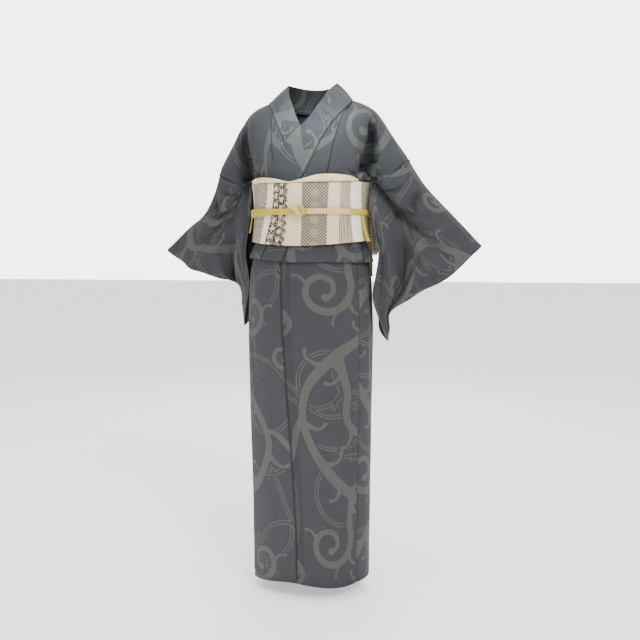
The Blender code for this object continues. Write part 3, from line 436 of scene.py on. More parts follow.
@dataclass(frozen=True)
class ScrollLayout:
    """A scrolling vine that repeats over the cloth, with spirals, hooks and tendrils."""

    width: float = 0.37
    height: float = 0.66
    step: float = 0.002
    vine_half: float = 0.0120
    vine: tuple = (
        (0.100, 0.000), (0.165, 0.080), (0.255, 0.150), (0.300, 0.245), (0.255, 0.345), (0.150, 0.415),
        (0.080, 0.505), (0.072, 0.590),
    )
    spirals: tuple = (
        # root, its heading in degrees, centre, outer and inner radius, first angle, turns, half width
        ((0.195, 0.105), 52.0, (0.135, 0.238), 0.076, 0.020, -25.0, 1.30, 0.0130),
        ((0.190, 0.385), 140.0, (0.258, 0.562), 0.074, 0.019, 205.0, -1.30, 0.0130),
        ((0.293, 0.210), 8.0, (0.388, 0.332), 0.036, 0.012, -62.0, 1.12, 0.0092),
        ((0.073, 0.560), 128.0, (-0.010, 0.674), 0.037, 0.012, 18.0, 1.12, 0.0092),
    )
    hooks: tuple = (
        # stroke, place along it, turn off it in degrees, length, first and last bend, half width
        (0, 0.04, -48.0, 0.075, -4.0, -62.0, 0.0086), (0, 0.17, -42.0, 0.066, -6.0, -66.0, 0.0080),
        (0, 0.13, 46.0, 0.058, 8.0, 72.0, 0.0078), (0, 0.42, -46.0, 0.078, -2.0, -58.0, 0.0088),
        (0, 0.52, 44.0, 0.060, 6.0, 70.0, 0.0078), (0, 0.70, 48.0, 0.074, 4.0, 60.0, 0.0086),
        (0, 0.66, -40.0, 0.052, -8.0, -76.0, 0.0074), (0, 0.90, -50.0, 0.070, -4.0, -62.0, 0.0082),
        (1, 0.12, -40.0, 0.062, -6.0, -66.0, 0.0078), (1, 0.36, -50.0, 0.064, -4.0, -64.0, 0.0076),
        (1, 0.40, -22.0, 0.050, 6.0, -50.0, 0.0056), (1, 0.62, -46.0, 0.048, -6.0, -74.0, 0.0062),
        (2, 0.14, 42.0, 0.060, 6.0, 66.0, 0.0078), (2, 0.38, 50.0, 0.066, 4.0, 62.0, 0.0076),
        (2, 0.42, 24.0, 0.050, -6.0, 50.0, 0.0056), (2, 0.60, 46.0, 0.046, 6.0, 74.0, 0.0062),
        (3, 0.30, 48.0, 0.040, 8.0, 80.0, 0.0058), (4, 0.34, -48.0, 0.040, -8.0, -80.0, 0.0058),
    )
    tendrils: tuple = (
        # root, heading in degrees, length, first and last bend
        ((0.020, 0.020), 84.0, 0.42, -2.0, 13.0), ((0.300, 0.305), 62.0, 0.44, 4.0, -17.0),
        ((0.150, 0.420), 84.0, 0.34, -4.0, -15.0), ((0.205, 0.020), -14.0, 0.46, 5.0, 15.0),
        ((0.112, 0.640), 18.0, 0.36, -5.0, -22.0), ((0.070, 0.520), 240.0, 0.34, -6.0, -18.0),
        ((0.250, 0.140), 110.0, 0.40, 14.0, 9.0), ((0.170, 0.400), 200.0, 0.42, -13.0, -10.0),
    )

    # fullness of a spiral's end and of a hook's end: size, place along the stroke, spread
    ball: tuple = (0.0052, 0.985, 0.022)
    knob: tuple = (0.0030, 0.95, 0.07)
    far: float = 0.05

    def _run(self, start: Array, heading: float, bends: Array, length: float) -> Array:
        """Lay a line whose bend changes along it.

        Args:
            start: Its first point.
            heading: Way in which it sets out, in degrees.
            bends: Bend at equal steps along it.
            length: Its length.

        Returns:
            The line's points.
        """
        pace = length / (len(bends) - 1)
        turn = math.radians(heading) + running(0.5 * (bends[1:] + bends[:-1]) * pace)
        middle = 0.5 * (turn[1:] + turn[:-1])
        steps = np.stack([np.cos(middle), np.sin(middle)], axis=1) * pace
        return start + np.concatenate([np.zeros((1, 2)), np.cumsum(steps, axis=0)])

    def _spiral(
        self, root: Array, heading: float, centre: Array, radii: tuple, first: float, turns: float,
    ) -> Array:
        """Lay a stem that leaves its root and winds up into a spiral.

        Args:
            root: Its first point.
            heading: Way in which it sets out, in degrees.
            centre: Middle of the spiral.
            radii: Outer and inner radius of the spiral.
            first: Angle at which the spiral starts, in degrees.
            turns: Number of turns, negative for the other way round.

        Returns:
            The stem's points.
        """
        run = np.linspace(0.0, 1.0, 150)
        angle = math.radians(first) + 2 * math.pi * turns * run
        radius = radii[0] * (radii[1] / radii[0]) ** run
        curl = centre + radius[:, None] * np.stack([np.cos(angle), np.sin(angle)], axis=1)
        reach = 1.25 * float(np.linalg.norm(curl[0] - root))
        leave = reach * np.array([math.cos(math.radians(heading)), math.sin(math.radians(heading))])
        arrive = curl[1] - curl[0]
        arrive = reach * arrive / np.linalg.norm(arrive)
        share = np.linspace(0.0, 1.0, 60)[:-1, None]
        return np.concatenate([curve(root, leave, curl[0], arrive, share), curl])

    def strokes(self) -> tuple[list, list]:
        """Lay every stroke of one repeat.

        Returns:
            The broad strokes, each as points with half widths, and the tendrils, each as points.
        """
        knots = np.array(self.vine)
        lift = np.array([0.0, self.height])
        knots = np.concatenate([knots[-3:] - lift, knots, knots[:4] + lift])
        keys = walked(knots)
        share = np.linspace(0.0, 1.0, 260)
        vine = between(knots, keys, mix(keys[3], keys[3 + len(self.vine)], share))
        broad = [(vine, self.vine_half * (1 + 0.18 * np.sin(4 * math.pi * share)))]
        for root, heading, centre, outer, inner, first, turns, half in self.spirals:
            line = self._spiral(np.array(root), heading, np.array(centre), (outer, inner), first, turns)
            run = np.linspace(0.0, 1.0, len(line))
            ball = self.ball[0] * bell(run, *self.ball[1:])
            broad.append((line, half * (1 - 0.60 * run) * (0.55 + 0.45 * ease(run / 0.10)) + ball))
        run = np.linspace(0.0, 1.0, 60)
        for stroke, share, turn, length, first, last, half in self.hooks:
            stem = broad[stroke][0]
            at = int(share * (len(stem) - 2))
            ahead = stem[at + 1] - stem[at]
            heading = math.degrees(math.atan2(ahead[1], ahead[0])) + turn
            line = self._run(stem[at], heading, mix(first, last, run**1.5), length)
            knob = self.knob[0] * bell(run, *self.knob[1:])
            broad.append((line, half * (1 - 0.68 * run**0.8) + knob))
        run = np.linspace(0.0, 1.0, 200)
        fine = [
            self._run(np.array(root), heading, mix(first, last, run), length)
            for root, heading, length, first, last in self.tendrils
        ]
        return broad, fine

    def _nearest(self, strokes: list, cells: Array) -> Array:
        """Measure from each cell to the edge of the nearest stroke, across the repeat's borders too.

        Args:
            strokes: Each stroke's points and its half width at each.
            cells: Places to measure from.

        Returns:
            One distance for each cell, negative inside a stroke, 1 where none is near.
        """
        best = np.full(len(cells), 1.0)
        border = self.far + 0.01
        for points, half in strokes:
            tree = kdtree.KDTree(9 * len(points))
            for i, (x, y) in enumerate(points):
                x, y = x % self.width, y % self.height
                for over in (-self.width, 0.0, self.width):
                    for up in (-self.height, 0.0, self.height):
                        tree.insert((x + over, y + up, 0.0), i)
            tree.balance()
            low = points.min(axis=0) - border
            wide = points.max(axis=0) + border - low
            local = (cells - low) % np.array([self.width, self.height])
            for cell in np.flatnonzero((local[:, 0] <= wide[0]) & (local[:, 1] <= wide[1])):
                _, i, distance = tree.find((cells[cell, 0], cells[cell, 1], 0.0))
                best[cell] = min(best[cell], distance - half[i])
        return best

    def measure(self) -> tuple[Array, Array]:
        """Measure one repeat, cell by cell.

        Returns:
            Distances from the broad strokes' edges and from the tendrils.
        """
        across = np.arange(0.0, self.width, self.step)
        along = np.arange(0.0, self.height, self.step)
        cells = np.stack(np.meshgrid(across, along, indexing="ij"), axis=-1).reshape(-1, 2)
        broad, fine = self.strokes()
        stem = self._nearest(broad, cells).reshape(len(across), len(along))
        thread = self._nearest([(line, np.zeros(len(line))) for line in fine], cells)
        return np.minimum(stem, self.far), np.minimum(thread.reshape(stem.shape), self.far)


def lookup(tile: Array, step: float, places: Array) -> Array:
    """Read a repeating map at cloth places.

    Args:
        tile: The map over one repeat.
        step: Size of one of its cells.
        places: Cloth places, across and along.

    Returns:
        The map's value at each place.
    """
    spot = places / step
    base = np.floor(spot).astype(int)
    part = spot - base
    x0, y0 = base[..., 0] % tile.shape[0], base[..., 1] % tile.shape[1]
    x1, y1 = (x0 + 1) % tile.shape[0], (y0 + 1) % tile.shape[1]
    low = mix(tile[x0, y0], tile[x1, y0], part[..., 0])
    high = mix(tile[x0, y1], tile[x1, y1], part[..., 0])
    return mix(low, high, part[..., 1])


LAYOUT = ScrollLayout()
STEM_MAP, THREAD_MAP = LAYOUT.measure()


class Value:
    """A shader socket that takes part in sums."""

    def __init__(self, wires: "Wires", socket: bpy.types.NodeSocket) -> None:
        """Keep the socket and the wires it belongs to."""
        self.wires = wires
        self.socket = socket

    def sum(self, operation: str, *others: "Value | float") -> "Value":
        """Add one Math node.

        Args:
            operation: The node's operation.
            others: Its further values.

        Returns:
            The result's socket.
        """
        inputs = {i: value for i, value in enumerate((self, *others))}
        return self.wires.node("ShaderNodeMath", {"operation": operation}, inputs)

    def __add__(self, other: "Value | float") -> "Value":
        """Sum."""
        return self.sum("ADD", other)

    __radd__ = __add__

    def __sub__(self, other: "Value | float") -> "Value":
        """Difference."""
        return self.sum("SUBTRACT", other)

    def __rsub__(self, other: float) -> "Value":
        """Difference from a number."""
        return self.wires.node("ShaderNodeMath", {"operation": "SUBTRACT"}, {0: other, 1: self})

    def __mul__(self, other: "Value | float") -> "Value":
        """Product."""
        return self.sum("MULTIPLY", other)

    __rmul__ = __mul__

    def __truediv__(self, other: "Value | float") -> "Value":
        """Quotient."""
        return self.sum("DIVIDE", other)

    def __abs__(self) -> "Value":
        """Size without sign."""
        return self.sum("ABSOLUTE")

    def rise(self, low: float, high: float) -> "Value":
        """Go smoothly from 0 at low to 1 at high; high may be below low."""
        return self.wires.node(
            "ShaderNodeMapRange", {"interpolation_type": "SMOOTHSTEP"},
            {"Value": self, "From Min": low, "From Max": high, "To Min": 0.0, "To Max": 1.0},
        )

    def band(self, low: float, high: float, soft: float) -> "Value":
        """1 between two values and 0 outside them, with soft edges."""
        return self.rise(low - soft, low + soft) * self.rise(high + soft, high - soft)

    def repeat(self, pitch: float) -> "Value":
        """Place within a repeat, from 0 to 1."""
        return (self / pitch).sum("FRACT")

    def wave(self, pitch: float, phase: float = 0.0) -> "Value":
        """Sine between 0 and 1 with a pitch."""
        return (self * (2 * math.pi / pitch) + phase).sum("SINE") * 0.5 + 0.5

    def most(self, other: "Value | float") -> "Value":
        """The larger of two."""
        return self.sum("MAXIMUM", other)


class Wires:
    """The nodes of one material."""

    def __init__(self, name: str, roughness: float, sheen: float, specular: float = 0.35) -> None:
        """Start a Principled material with its plain values set on the shader.

        Args:
            name: The material's name.
            roughness: Roughness, 0 to 1.
            sheen: Sheen weight.
            specular: Specular level.
        """
        self.material = bpy.data.materials.new(name)
        self.material.use_nodes = True
        self.tree = self.material.node_tree
        self.shader = self.tree.nodes["Principled BSDF"]
        self.shader.inputs["Roughness"].default_value = roughness
        self.shader.inputs["Sheen Weight"].default_value = sheen
        self.shader.inputs["Sheen Roughness"].default_value = 0.5
        self.shader.inputs["Specular IOR Level"].default_value = specular

    def node(self, kind: str, settings: dict, inputs: dict, output: int = 0) -> Value:
        """Add any node.

        Args:
            kind: The node's type.
            settings: Its properties, set before its sockets.
            inputs: Values or links of its sockets, by name or number.
            output: Number of the output to give back.

        Returns:
            That output's socket.
        """
        made = self.tree.nodes.new(kind)
        for name, value in settings.items():
            setattr(made, name, value)
        for name, value in inputs.items():
            if isinstance(value, Value):
                self.tree.links.new(value.socket, made.inputs[name])
            else:
                made.inputs[name].default_value = value
        return Value(self, made.outputs[output])

    def blend(self, share: "Value | float", low: "Value | Colour", high: "Value | Colour") -> Value:
        """Mix two colours.

        Args:
            share: Share of the second colour.
            low: First colour.
            high: Second colour.

        Returns:
            The mixed colour.
        """
        low = low if isinstance(low, Value) else (*low, 1.0)
        high = high if isinstance(high, Value) else (*high, 1.0)
        settings = {"data_type": "RGBA", "blend_type": "MIX"}
        return self.node("ShaderNodeMix", settings, {0: share, 6: low, 7: high}, 2)

    def dim(self, colour: Value, share: Value) -> Value:
        """Multiply a colour by a grey level."""
        settings = {"operation": "SCALE"}
        return self.node("ShaderNodeVectorMath", settings, {0: colour, 3: share})

    def cloth_place(self) -> tuple[Value, Value]:
        """Places on the cloth in metres, across and along."""
        uv = self.node("ShaderNodeUVMap", {"uv_map": "cloth"}, {})
        split = self.node("ShaderNodeSeparateXYZ", {}, {0: uv})
        return split, Value(self, split.socket.node.outputs[1])

    def mark(self, name: str) -> Value:
        """A number kept on the mesh."""
        return self.node("ShaderNodeAttribute", {"attribute_name": name}, {}, 2)

    def noise(self, scale: float, detail: float = 2.0) -> Value:
        """Lay noise over the object's own space.

        Args:
            scale: How fine it is.
            detail: How many finer layers it has.

        Returns:
            The noise, 0 to 1.
        """
        spot = self.node("ShaderNodeTexCoord", {}, {}, 3)
        inputs = {"Vector": spot, "Scale": scale, "Detail": detail, "Roughness": 0.55}
        return self.node("ShaderNodeTexNoise", {}, inputs)

    def grain(self, across: Value, along: Value, scale_across: float, scale_along: float) -> Value:
        """Lay noise on the cloth, drawn out one way or the other.

        Args:
            across: Place across the cloth.
            along: Place along the cloth.
            scale_across: How fine it is across.
            scale_along: How fine it is along.

        Returns:
            The noise, 0 to 1.
        """
        spot = self.node("ShaderNodeCombineXYZ", {}, {0: across * scale_across, 1: along * scale_along})
        inputs = {"Vector": spot, "Scale": 1.0, "Detail": 2.0, "Roughness": 0.5}
        return self.node("ShaderNodeTexNoise", {}, inputs)

    def finish(self, colour: Value, relief: Value, depth: float, roughness: Value) -> bpy.types.Material:
        """Feed the shader.

        Args:
            colour: Base colour.
            relief: Height of the surface, 0 to 1.
            depth: Height in metres that 1 stands for.
            roughness: Roughness over the surface.

        Returns:
            The material.
        """
        bump = self.node("ShaderNodeBump", {}, {"Height": relief, "Distance": depth, "Strength": 0.6})
        self.tree.links.new(bump.socket, self.shader.inputs["Normal"])
        self.tree.links.new(colour.socket, self.shader.inputs["Base Color"])
        self.tree.links.new(roughness.socket, self.shader.inputs["Roughness"])
        return self.material


@dataclass(frozen=True)
class ScrollCloth:
    """Dark plain weave with a slightly lighter scroll whose broad strokes are finely ribbed."""

    ground: Colour = (0.0330, 0.0345, 0.0385)
    scroll: Colour = (0.0820, 0.0850, 0.0740)
    rib_pitch: float = 0.0044
    thread_pitch: float = 0.0008
    tendril_offset: float = 0.0042
    tendril_half: float = 0.0014
    edge: float = 0.0007

    def material(self) -> bpy.types.Material:
        """Make the cloth's material."""
        wires = Wires("kimono_scroll_cloth", 0.8, 0.06, 0.22)
        across, along = wires.cloth_place()
        stem = wires.mark("stem").rise(self.edge, -self.edge)
        rib = across.wave(self.rib_pitch).rise(0.25, 0.75)
        broad = stem * (rib * 0.55 + 0.36)
        thread = abs(wires.mark("thread") - self.tendril_offset)
        tendril = thread.rise(self.tendril_half + self.edge, self.tendril_half - self.edge) * 0.62
        clear = wires.mark("stem").rise(0.004, 0.005)
        pattern = broad.most(tendril * clear)
        slub = wires.noise(34.0, 3.0)
        weft = along.wave(self.thread_pitch)
        warp = across.wave(self.thread_pitch, 0.8)
        ground = wires.blend(slub.rise(0.3, 0.7), self.ground, tuple(1.14 * c for c in self.ground))
        colour = wires.blend(pattern, ground, self.scroll)
        level = (weft * warp) * 0.16 + (0.94 - wires.mark("under") * 0.16)
        # painted shade along seams and at the collar's ridged edge, and a painted highlight on that ridge,
        # read from the seam mark
        colour = wires.dim(colour, level * (1 - wires.mark("seam") * 0.70))
        relief = (weft * 0.5 + warp * 0.5) * 0.7 + pattern * 0.5
        rough = slub * 0.12 + (0.76 - pattern * 0.10)
        return wires.finish(colour, relief, 0.00025, rough)


@dataclass(frozen=True)
class SashCloth:
    """Cream sash with bands across it: flowers, lattice, streaks and fine grounds."""

    cream: Colour = (0.76, 0.62, 0.42)
    white: Colour = (0.84, 0.76, 0.61)
    beige: Colour = (0.50, 0.43, 0.31)
    dark: Colour = (0.036, 0.031, 0.027)
    tan: Colour = (0.40, 0.33, 0.20)
    repeat: float = 0.340
    start: float = -0.126
    # first and last place of each band along the sash
    pale_bands: tuple = ((-0.0890, -0.0680), (0.1380, 0.1750))
    fine_band: tuple = (-0.1260, -0.0890)
    flower_band: tuple = (-0.0680, -0.0240)
    lattice_band: tuple = (0.0116, 0.0780)
    striped_band: tuple = (0.1070, 0.1380)
    mottled_band: tuple = (0.1750, 0.2140)
    band_edge: float = 0.0004
    flower_wide: float = 0.0170
    flower_tall: float = 0.0200
    lattice_pitch: float = 0.0084
    mottle_pitch: float = 0.0090
    medal_place: float = 0.0448
    medal_half: float = 0.0115
    medal_pitch: float = 0.0330

    def _flowers(self, wires: Wires, across: Value, along: Value) -> Value:
        """Draw five-petalled blossoms set in a half drop, with curls between them.

        Args:
            wires: The sash's nodes.
            across: Place along the sash.
            along: Place up the sash.

        Returns:
            Share of the lighter colour.
        """
        column = (across / self.flower_wide).sum("FLOOR")
        u = across.repeat(self.flower_wide) - 0.5
        v = (along + column * (0.45 * self.flower_tall)).repeat(self.flower_tall) - 0.5
        away = (u * u + v * v).sum("SQRT")
        turn = v.sum("ARCTAN2", u) + column * 1.7
        petals = (turn * 5.0).sum("COSINE") * 0.07 + 0.26
        bloom = (petals - away).rise(-0.03, 0.03) * away.rise(0.06, 0.10)
        curls = abs(wires.grain(across, along, 150.0, 120.0) - 0.5).rise(0.030, 0.016)
        return bloom.most(curls * 0.8)

    def _diamonds(self, across: Value, along: Value, pitch: float) -> Value:
        """Net of diamonds: 0 in the middle of each and 0.5 at its edges."""
        one = abs((across + along).repeat(pitch) - 0.5)
        return one.most(abs((across - along).repeat(pitch) - 0.5))

    def _lattice(self, wires: Wires, place: Value, across: Value, along: Value) -> Value:
        """Draw dark diamond lines with a dot in each diamond, and tan medallions behind them.

        Args:
            wires: The sash's nodes.
            place: Place within the repeat of the bands.
            across: Place along the sash.
            along: Place up the sash.

        Returns:
            The colour.
        """
        net = self._diamonds(across, along, self.lattice_pitch)
        lines = net.rise(0.29, 0.34).most(net.rise(0.12, 0.08))
        beside = (place - self.medal_place) / self.medal_half
        above = (along.repeat(self.medal_pitch) - 0.5) * 3.0
        medal = (beside * beside + above * above).sum("SQRT").rise(1.05, 0.90)
        behind = wires.blend(medal, self.beige, self.tan)
        return wires.blend(lines * (0.95 - medal * 0.55), behind, self.dark)

    def material(self) -> bpy.types.Material:
        """Make the sash's material."""
        wires = Wires("obi_banded_cloth", 0.7, 0.05, 0.25)
        across, along = wires.cloth_place()
        place = (across - self.start).repeat(self.repeat) * self.repeat + self.start
        rib = along.wave(0.0016)
        warp = across.wave(0.0010)
        streak = wires.grain(across, along, 420.0, 14.0)
        speck = wires.grain(across, along, 230.0, 230.0)
        net = self._diamonds(across, along, self.mottle_pitch).rise(0.30, 0.36)
        mottle = (net * 0.6).most(speck.rise(0.5, 0.6) * 0.7)
        bands = (
            (self.pale_bands[0], self.white),
            (self.pale_bands[1], self.white),
            (self.fine_band, wires.blend(speck.rise(0.44, 0.56) * 0.70, self.beige, self.dark)),
            (self.flower_band, wires.blend(self._flowers(wires, across, along), self.dark, self.cream)),
            (self.lattice_band, self._lattice(wires, place, across, along)),
            (self.striped_band, wires.blend(streak.rise(0.40, 0.62) * 0.62, self.beige, self.dark)),
            (self.mottled_band, wires.blend(mottle, self.beige, self.dark)),
        )
        colour = wires.blend(streak.rise(0.35, 0.70) * 0.30, self.cream, self.beige)
        for ends, look in bands:
            colour = wires.blend(place.band(*ends, self.band_edge), colour, look)
        colour = wires.dim(colour, rib * 0.10 + 0.90)
        return wires.finish(colour, rib * 0.7 + warp * 0.3, 0.0003, speck * 0.15 + 0.60)


@dataclass(frozen=True)
class ScarfCrepe:
    """Soft pale yellow crepe with a pebbled surface."""

    base: Colour = (0.78, 0.64, 0.33)
    shade: Colour = (0.60, 0.46, 0.20)

    def material(self) -> bpy.types.Material:
        """Make the scarf's material."""
        wires = Wires("obiage_crepe", 0.7, 0.2, 0.25)
        pebble = wires.noise(900.0, 2.0)
        cloud = wires.noise(26.0, 2.0)
        colour = wires.blend(cloud.rise(0.35, 0.75) * 0.6, self.base, self.shade)
        colour = wires.dim(colour, pebble * 0.16 + 0.90)
        return wires.finish(colour, pebble, 0.0005, cloud * 0.1 + 0.62)


@dataclass(frozen=True)
class CordBraid:
    """Flat silk braid, yellow with a pale stretch beside the knot."""

    yellow: Colour = (0.52, 0.40, 0.03)
    pale: Colour = (0.72, 0.50, 0.22)
    pale_from: float = 0.020
    pale_to: float = 0.125

    def material(self) -> bpy.types.Material:
        """Make the cord's material."""
        wires = Wires("obijime_braid", 0.5, 0.1, 0.4)
        across, along = wires.cloth_place()
        arm = (abs(across) * 1.1 + along).repeat(0.0034)
        strand = arm.wave(1.0)
        ridge = across.wave(0.0030)
        pale = along.rise(self.pale_from, self.pale_from + 0.012)
        pale = pale * along.rise(self.pale_to + 0.02, self.pale_to)
        colour = wires.blend(pale, self.yellow, self.pale)
        colour = wires.dim(colour, strand * 0.30 + (ridge * 0.08 + 0.68))
        return wires.finish(colour, strand * 0.8 + ridge * 0.2, 0.0007, strand * 0.1 + 0.46)


# relief of an edge in metres, or the painted shade and painted highlight along it: height, distance from the
# edge and spread of each bell
SEWN_RELIEF = ((0.0010, 0.0, 0.0034), (-0.0005, 0.010, 0.005))
RIDGE_RELIEF = ((-0.0012, 0.0045, 0.0035),)
SEWN_PAINTED_SHADE = ((1.0, 0.0, 0.0026),)
RIDGE_PAINTED_SHADE_AND_HIGHLIGHT = ((1.1, 0.0, 0.0022), (-0.55, 0.0050, 0.0018))
# share of the painted seam shade that faint seams get
FAINT_SEAM = 0.40
CALM_EDGE = 0.016
HEM_WIDTH = 0.014
HEM_STEP = 0.003
HEM_RELIEF = 0.0004
UNDER_STEP = 0.002
SHARP_ANGLE = math.radians(62)


def profile(near: Array, bells: tuple) -> Array:
    """Sum of bells at distances from an edge."""
    return sum(height * bell(near, at, spread) for height, at, spread in bells)


def cells(index: Array) -> Array:
    """Four corners of each cell of a grid of point numbers."""
    corners = [index[:-1, :-1], index[:-1, 1:], index[1:, 1:], index[1:, :-1]]
    return np.stack(corners, axis=-1).reshape(-1, 4)


@dataclass
class Cloth:
    """One length of cloth laid out as rows and columns of points on its outer face.

    Its edges are named left, right, top and bottom. Sewn ones dip at the seam and carry a line of
    painted shade along it, free ones are turned up to a hem, ridged ones stand up to a ridge with
    painted shade at the seam and a painted highlight on the ridge, and those in tuck carry on beneath
    the neighbouring cloth. Faint seams get less painted shade. Under lists edges that have more cloth
    beneath them, with its width, and origin moves the pattern.
    """

    name: str
    node: str
    grid: Array
    places: Array
    middle: tuple
    wall: float = 0.0012
    spacing: float = 0.0042
    closed: bool = False
    creases: tuple = ()
    sewn: str = ""
    free: str = ""
    under: tuple = ()
    origin: tuple = (0.0, 0.0)
    rest: float = 0.0006
    tuck: str = ""
    turn_length: float = 0.0045
    turn_depth: float = 0.0030
    faint: str = ""
    ridged: str = ""

    def _edge_distance(self, edge: str, places: Array, turned: int = 0) -> Array:
        """Measure each place's distance from an edge.

        Args:
            edge: The edge's name.
            places: Cloth places, across and along.
            turned: Number of columns that are turned under beyond a tucked edge.

        Returns:
            The distances, in metres.
        """
        axis = 0 if edge in ("left", "right") else 1
        line = places[..., axis]
        skip = turned if edge in self.tuck.split() else 0
        at = skip if edge in ("left", "top") else -1 - skip
        border = line[:, at][:, None] if axis == 0 else line[at][None]
        return np.abs(line - border)

    def _turned_under(self, grid: Array, places: Array, normal: Array) -> tuple[Array, Array]:
        """Carry each tucked edge on past its seam, in beneath the neighbouring cloth.

        Args:
            grid: Rows and columns of points.
            places: Their cloth places.
            normal: Their inward normals.

        Returns:
            The wider grid and its cloth places.
        """
        for edge in self.tuck.split():
            last, before = (0, 1) if edge == "left" else (-1, -2)
            way = grid[:, last] - grid[:, before]
            way = way / np.linalg.norm(way, axis=-1, keepdims=True)
            more = (grid[:, last] + way * self.turn_length + normal[:, last] * self.turn_depth)[:, None]
            step = np.sign(places[:, last] - places[:, before]) * np.array([self.turn_length, 0.0])
            spot = (places[:, last] + step)[:, None]
            order = slice(None, None, 1 if edge == "left" else -1)
            grid = np.concatenate([more, grid][order], axis=1)
            places = np.concatenate([spot, places][order], axis=1)
        return grid, places

    def lay(self) -> tuple[Array, Array, Array]:
        """Lay the cloth out finely, with its creases and its seams drawn in.

        Returns:
            The outer points, the cloth places and the inward normals.
        """
        grid, places = finer(self.grid, self.places, self.spacing, self.closed)
        normal = inward(grid, self.middle, self.closed)
        push = np.zeros(grid.shape[:2])
        for crease in self.creases:
            push += crease.push(places)
        across, along = places[..., 0], places[..., 1]
        # cloth at rest is never quite even
        push += self.rest * np.sin(31 * across + 17 * along) * np.sin(23 * along - 9 * across + 1.3)
        calm = np.ones_like(push)
        for edge in (self.sewn + " " + self.free).split():
            calm *= ease(self._edge_distance(edge, places) / CALM_EDGE)
        push *= calm
        for edge in self.sewn.split():
            push += profile(self._edge_distance(edge, places), SEWN_RELIEF)
        for edge in self.free.split():
            push -= HEM_RELIEF * ease((HEM_WIDTH - self._edge_distance(edge, places)) / HEM_STEP)
        for edge in self.ridged.split():
            push += profile(self._edge_distance(edge, places), RIDGE_RELIEF)
        grid = grid + normal * push[..., None]
        grid, places = self._turned_under(grid, places, normal)
        return grid, places, inward(grid, self.middle, self.closed)

    def _faces(self, index: Array) -> Array:
        """Join the points into the outer face, the inner one and the rims between them.

        Args:
            index: Numbers of the outer points, in rows and columns; the inner ones follow them.

        Returns:
            Four corners for each face.
        """
        shift = index.size
        if self.closed:
            index = np.concatenate([index, index[:1]])
        quads = cells(index)
        rims = [index[:, 0], index[::-1, -1]]
        if not self.closed:
            rims += [index[0, ::-1], index[-1]]
        sides = [np.stack([rim[:-1], rim[1:], rim[1:] + shift, rim[:-1] + shift], axis=-1) for rim in rims]
        return np.concatenate([quads, quads[:, ::-1] + shift, *sides])

    def _marks(self, places: Array, spots: Array) -> dict[str, Array]:
        """Work out the numbers that the finish reads from the mesh.

        Args:
            places: Cloth places of the outer points, in rows and columns.
            spots: Places in the pattern of every point.

        Returns:
            Distances from the scroll's strokes, cloth beneath, and the painted shade and highlight along
            seams and ridges, by name.
        """
        under = np.zeros(places.shape[:2])
        for edge, wide in self.under:
            near = self._edge_distance(edge, places)
            under = np.maximum(under, ease((wide - near) / UNDER_STEP + 0.5))
        # painted shade along sewn edges, and painted shade with a painted highlight along ridged ones
        seam = np.zeros(places.shape[:2])
        for edge in self.sewn.split():
            strength = FAINT_SEAM if edge in self.faint.split() else 1.0
            seam = np.maximum(seam, strength * profile(self._edge_distance(edge, places, 1), SEWN_PAINTED_SHADE))
        for edge in self.ridged.split():
            seam += profile(self._edge_distance(edge, places, 1), RIDGE_PAINTED_SHADE_AND_HIGHLIGHT)
        return {
            "stem": lookup(STEM_MAP, LAYOUT.step, spots),
            "thread": lookup(THREAD_MAP, LAYOUT.step, spots),
            "under": np.tile(under.reshape(-1), 2),
            "seam": np.tile(seam.reshape(-1), 2),
        }

    def build(self, material: bpy.types.Material, slot: str, flat: tuple, hold: Hold) -> bpy.types.Object:
        """Make the cloth's mesh, a thin wall with both faces, and dress it.

        Args:
            material: Finish of both faces.
            slot: Not used.
            flat: Width and length of the cut.
            hold: Not used.

        Returns:
            The finished piece.
        """
        outer, places, normal = self.lay()
        points = np.concatenate([outer.reshape(-1, 3), (outer + normal * self.wall).reshape(-1, 3)])
        faces = self._faces(np.arange(outer[..., 0].size).reshape(outer.shape[:2]))
        first = points[faces[0]]
        outside = np.cross(first[1] - first[0], first[3] - first[0])
        if np.dot(outside, normal[0, 0]) > 0:
            faces = faces[:, ::-1]
        spots = np.concatenate([places.reshape(-1, 2)] * 2) + np.asarray(self.origin)
        piece = make_piece(self.name, points, faces, spots, material)
        for mark, numbers in self._marks(places, spots).items():
            piece.data.attributes.new(mark, "FLOAT", "POINT").data.foreach_set("value", numbers)
        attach(piece, "root")
        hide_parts(self.node)
        area = sum(face.area for face in piece.data.polygons) / 2
        LOG.info("%s: %d faces, %.2f of its flat area", self.name, len(faces), area / (flat[0] * flat[1]))
        return piece


def make_piece(
    name: str, points: Array, faces: Array, spots: Array, material: bpy.types.Material,
) -> bpy.types.Object:
    """Make one object from points, four-cornered faces and cloth places.

    Args:
        name: The piece's name.
        points: Its points.
        faces: Four corners for each face.
        spots: Cloth place of each point.
        material: Its finish.

    Returns:
        The object, in the scene.
    """
    mesh = bpy.data.meshes.new(name)
    mesh.vertices.add(len(points))
    mesh.vertices.foreach_set("co", np.ascontiguousarray(points, np.float32).reshape(-1))
    mesh.loops.add(faces.size)
    mesh.loops.foreach_set("vertex_index", np.ascontiguousarray(faces, np.int32).reshape(-1))
    mesh.polygons.add(len(faces))
    mesh.polygons.foreach_set("loop_start", np.arange(0, faces.size, 4, dtype=np.int32))
    mesh.update(calc_edges=True)
    layer = mesh.uv_layers.new(name="cloth")
    layer.data.foreach_set("uv", np.ascontiguousarray(spots[faces.reshape(-1)], np.float32).reshape(-1))
    mesh.materials.append(material)
    mesh.validate()
    mesh.shade_smooth()
    mesh.set_sharp_from_angle(angle=SHARP_ANGLE)
    piece = bpy.data.objects.new(name, mesh)
    bpy.context.scene.collection.objects.link(piece)
    return piece


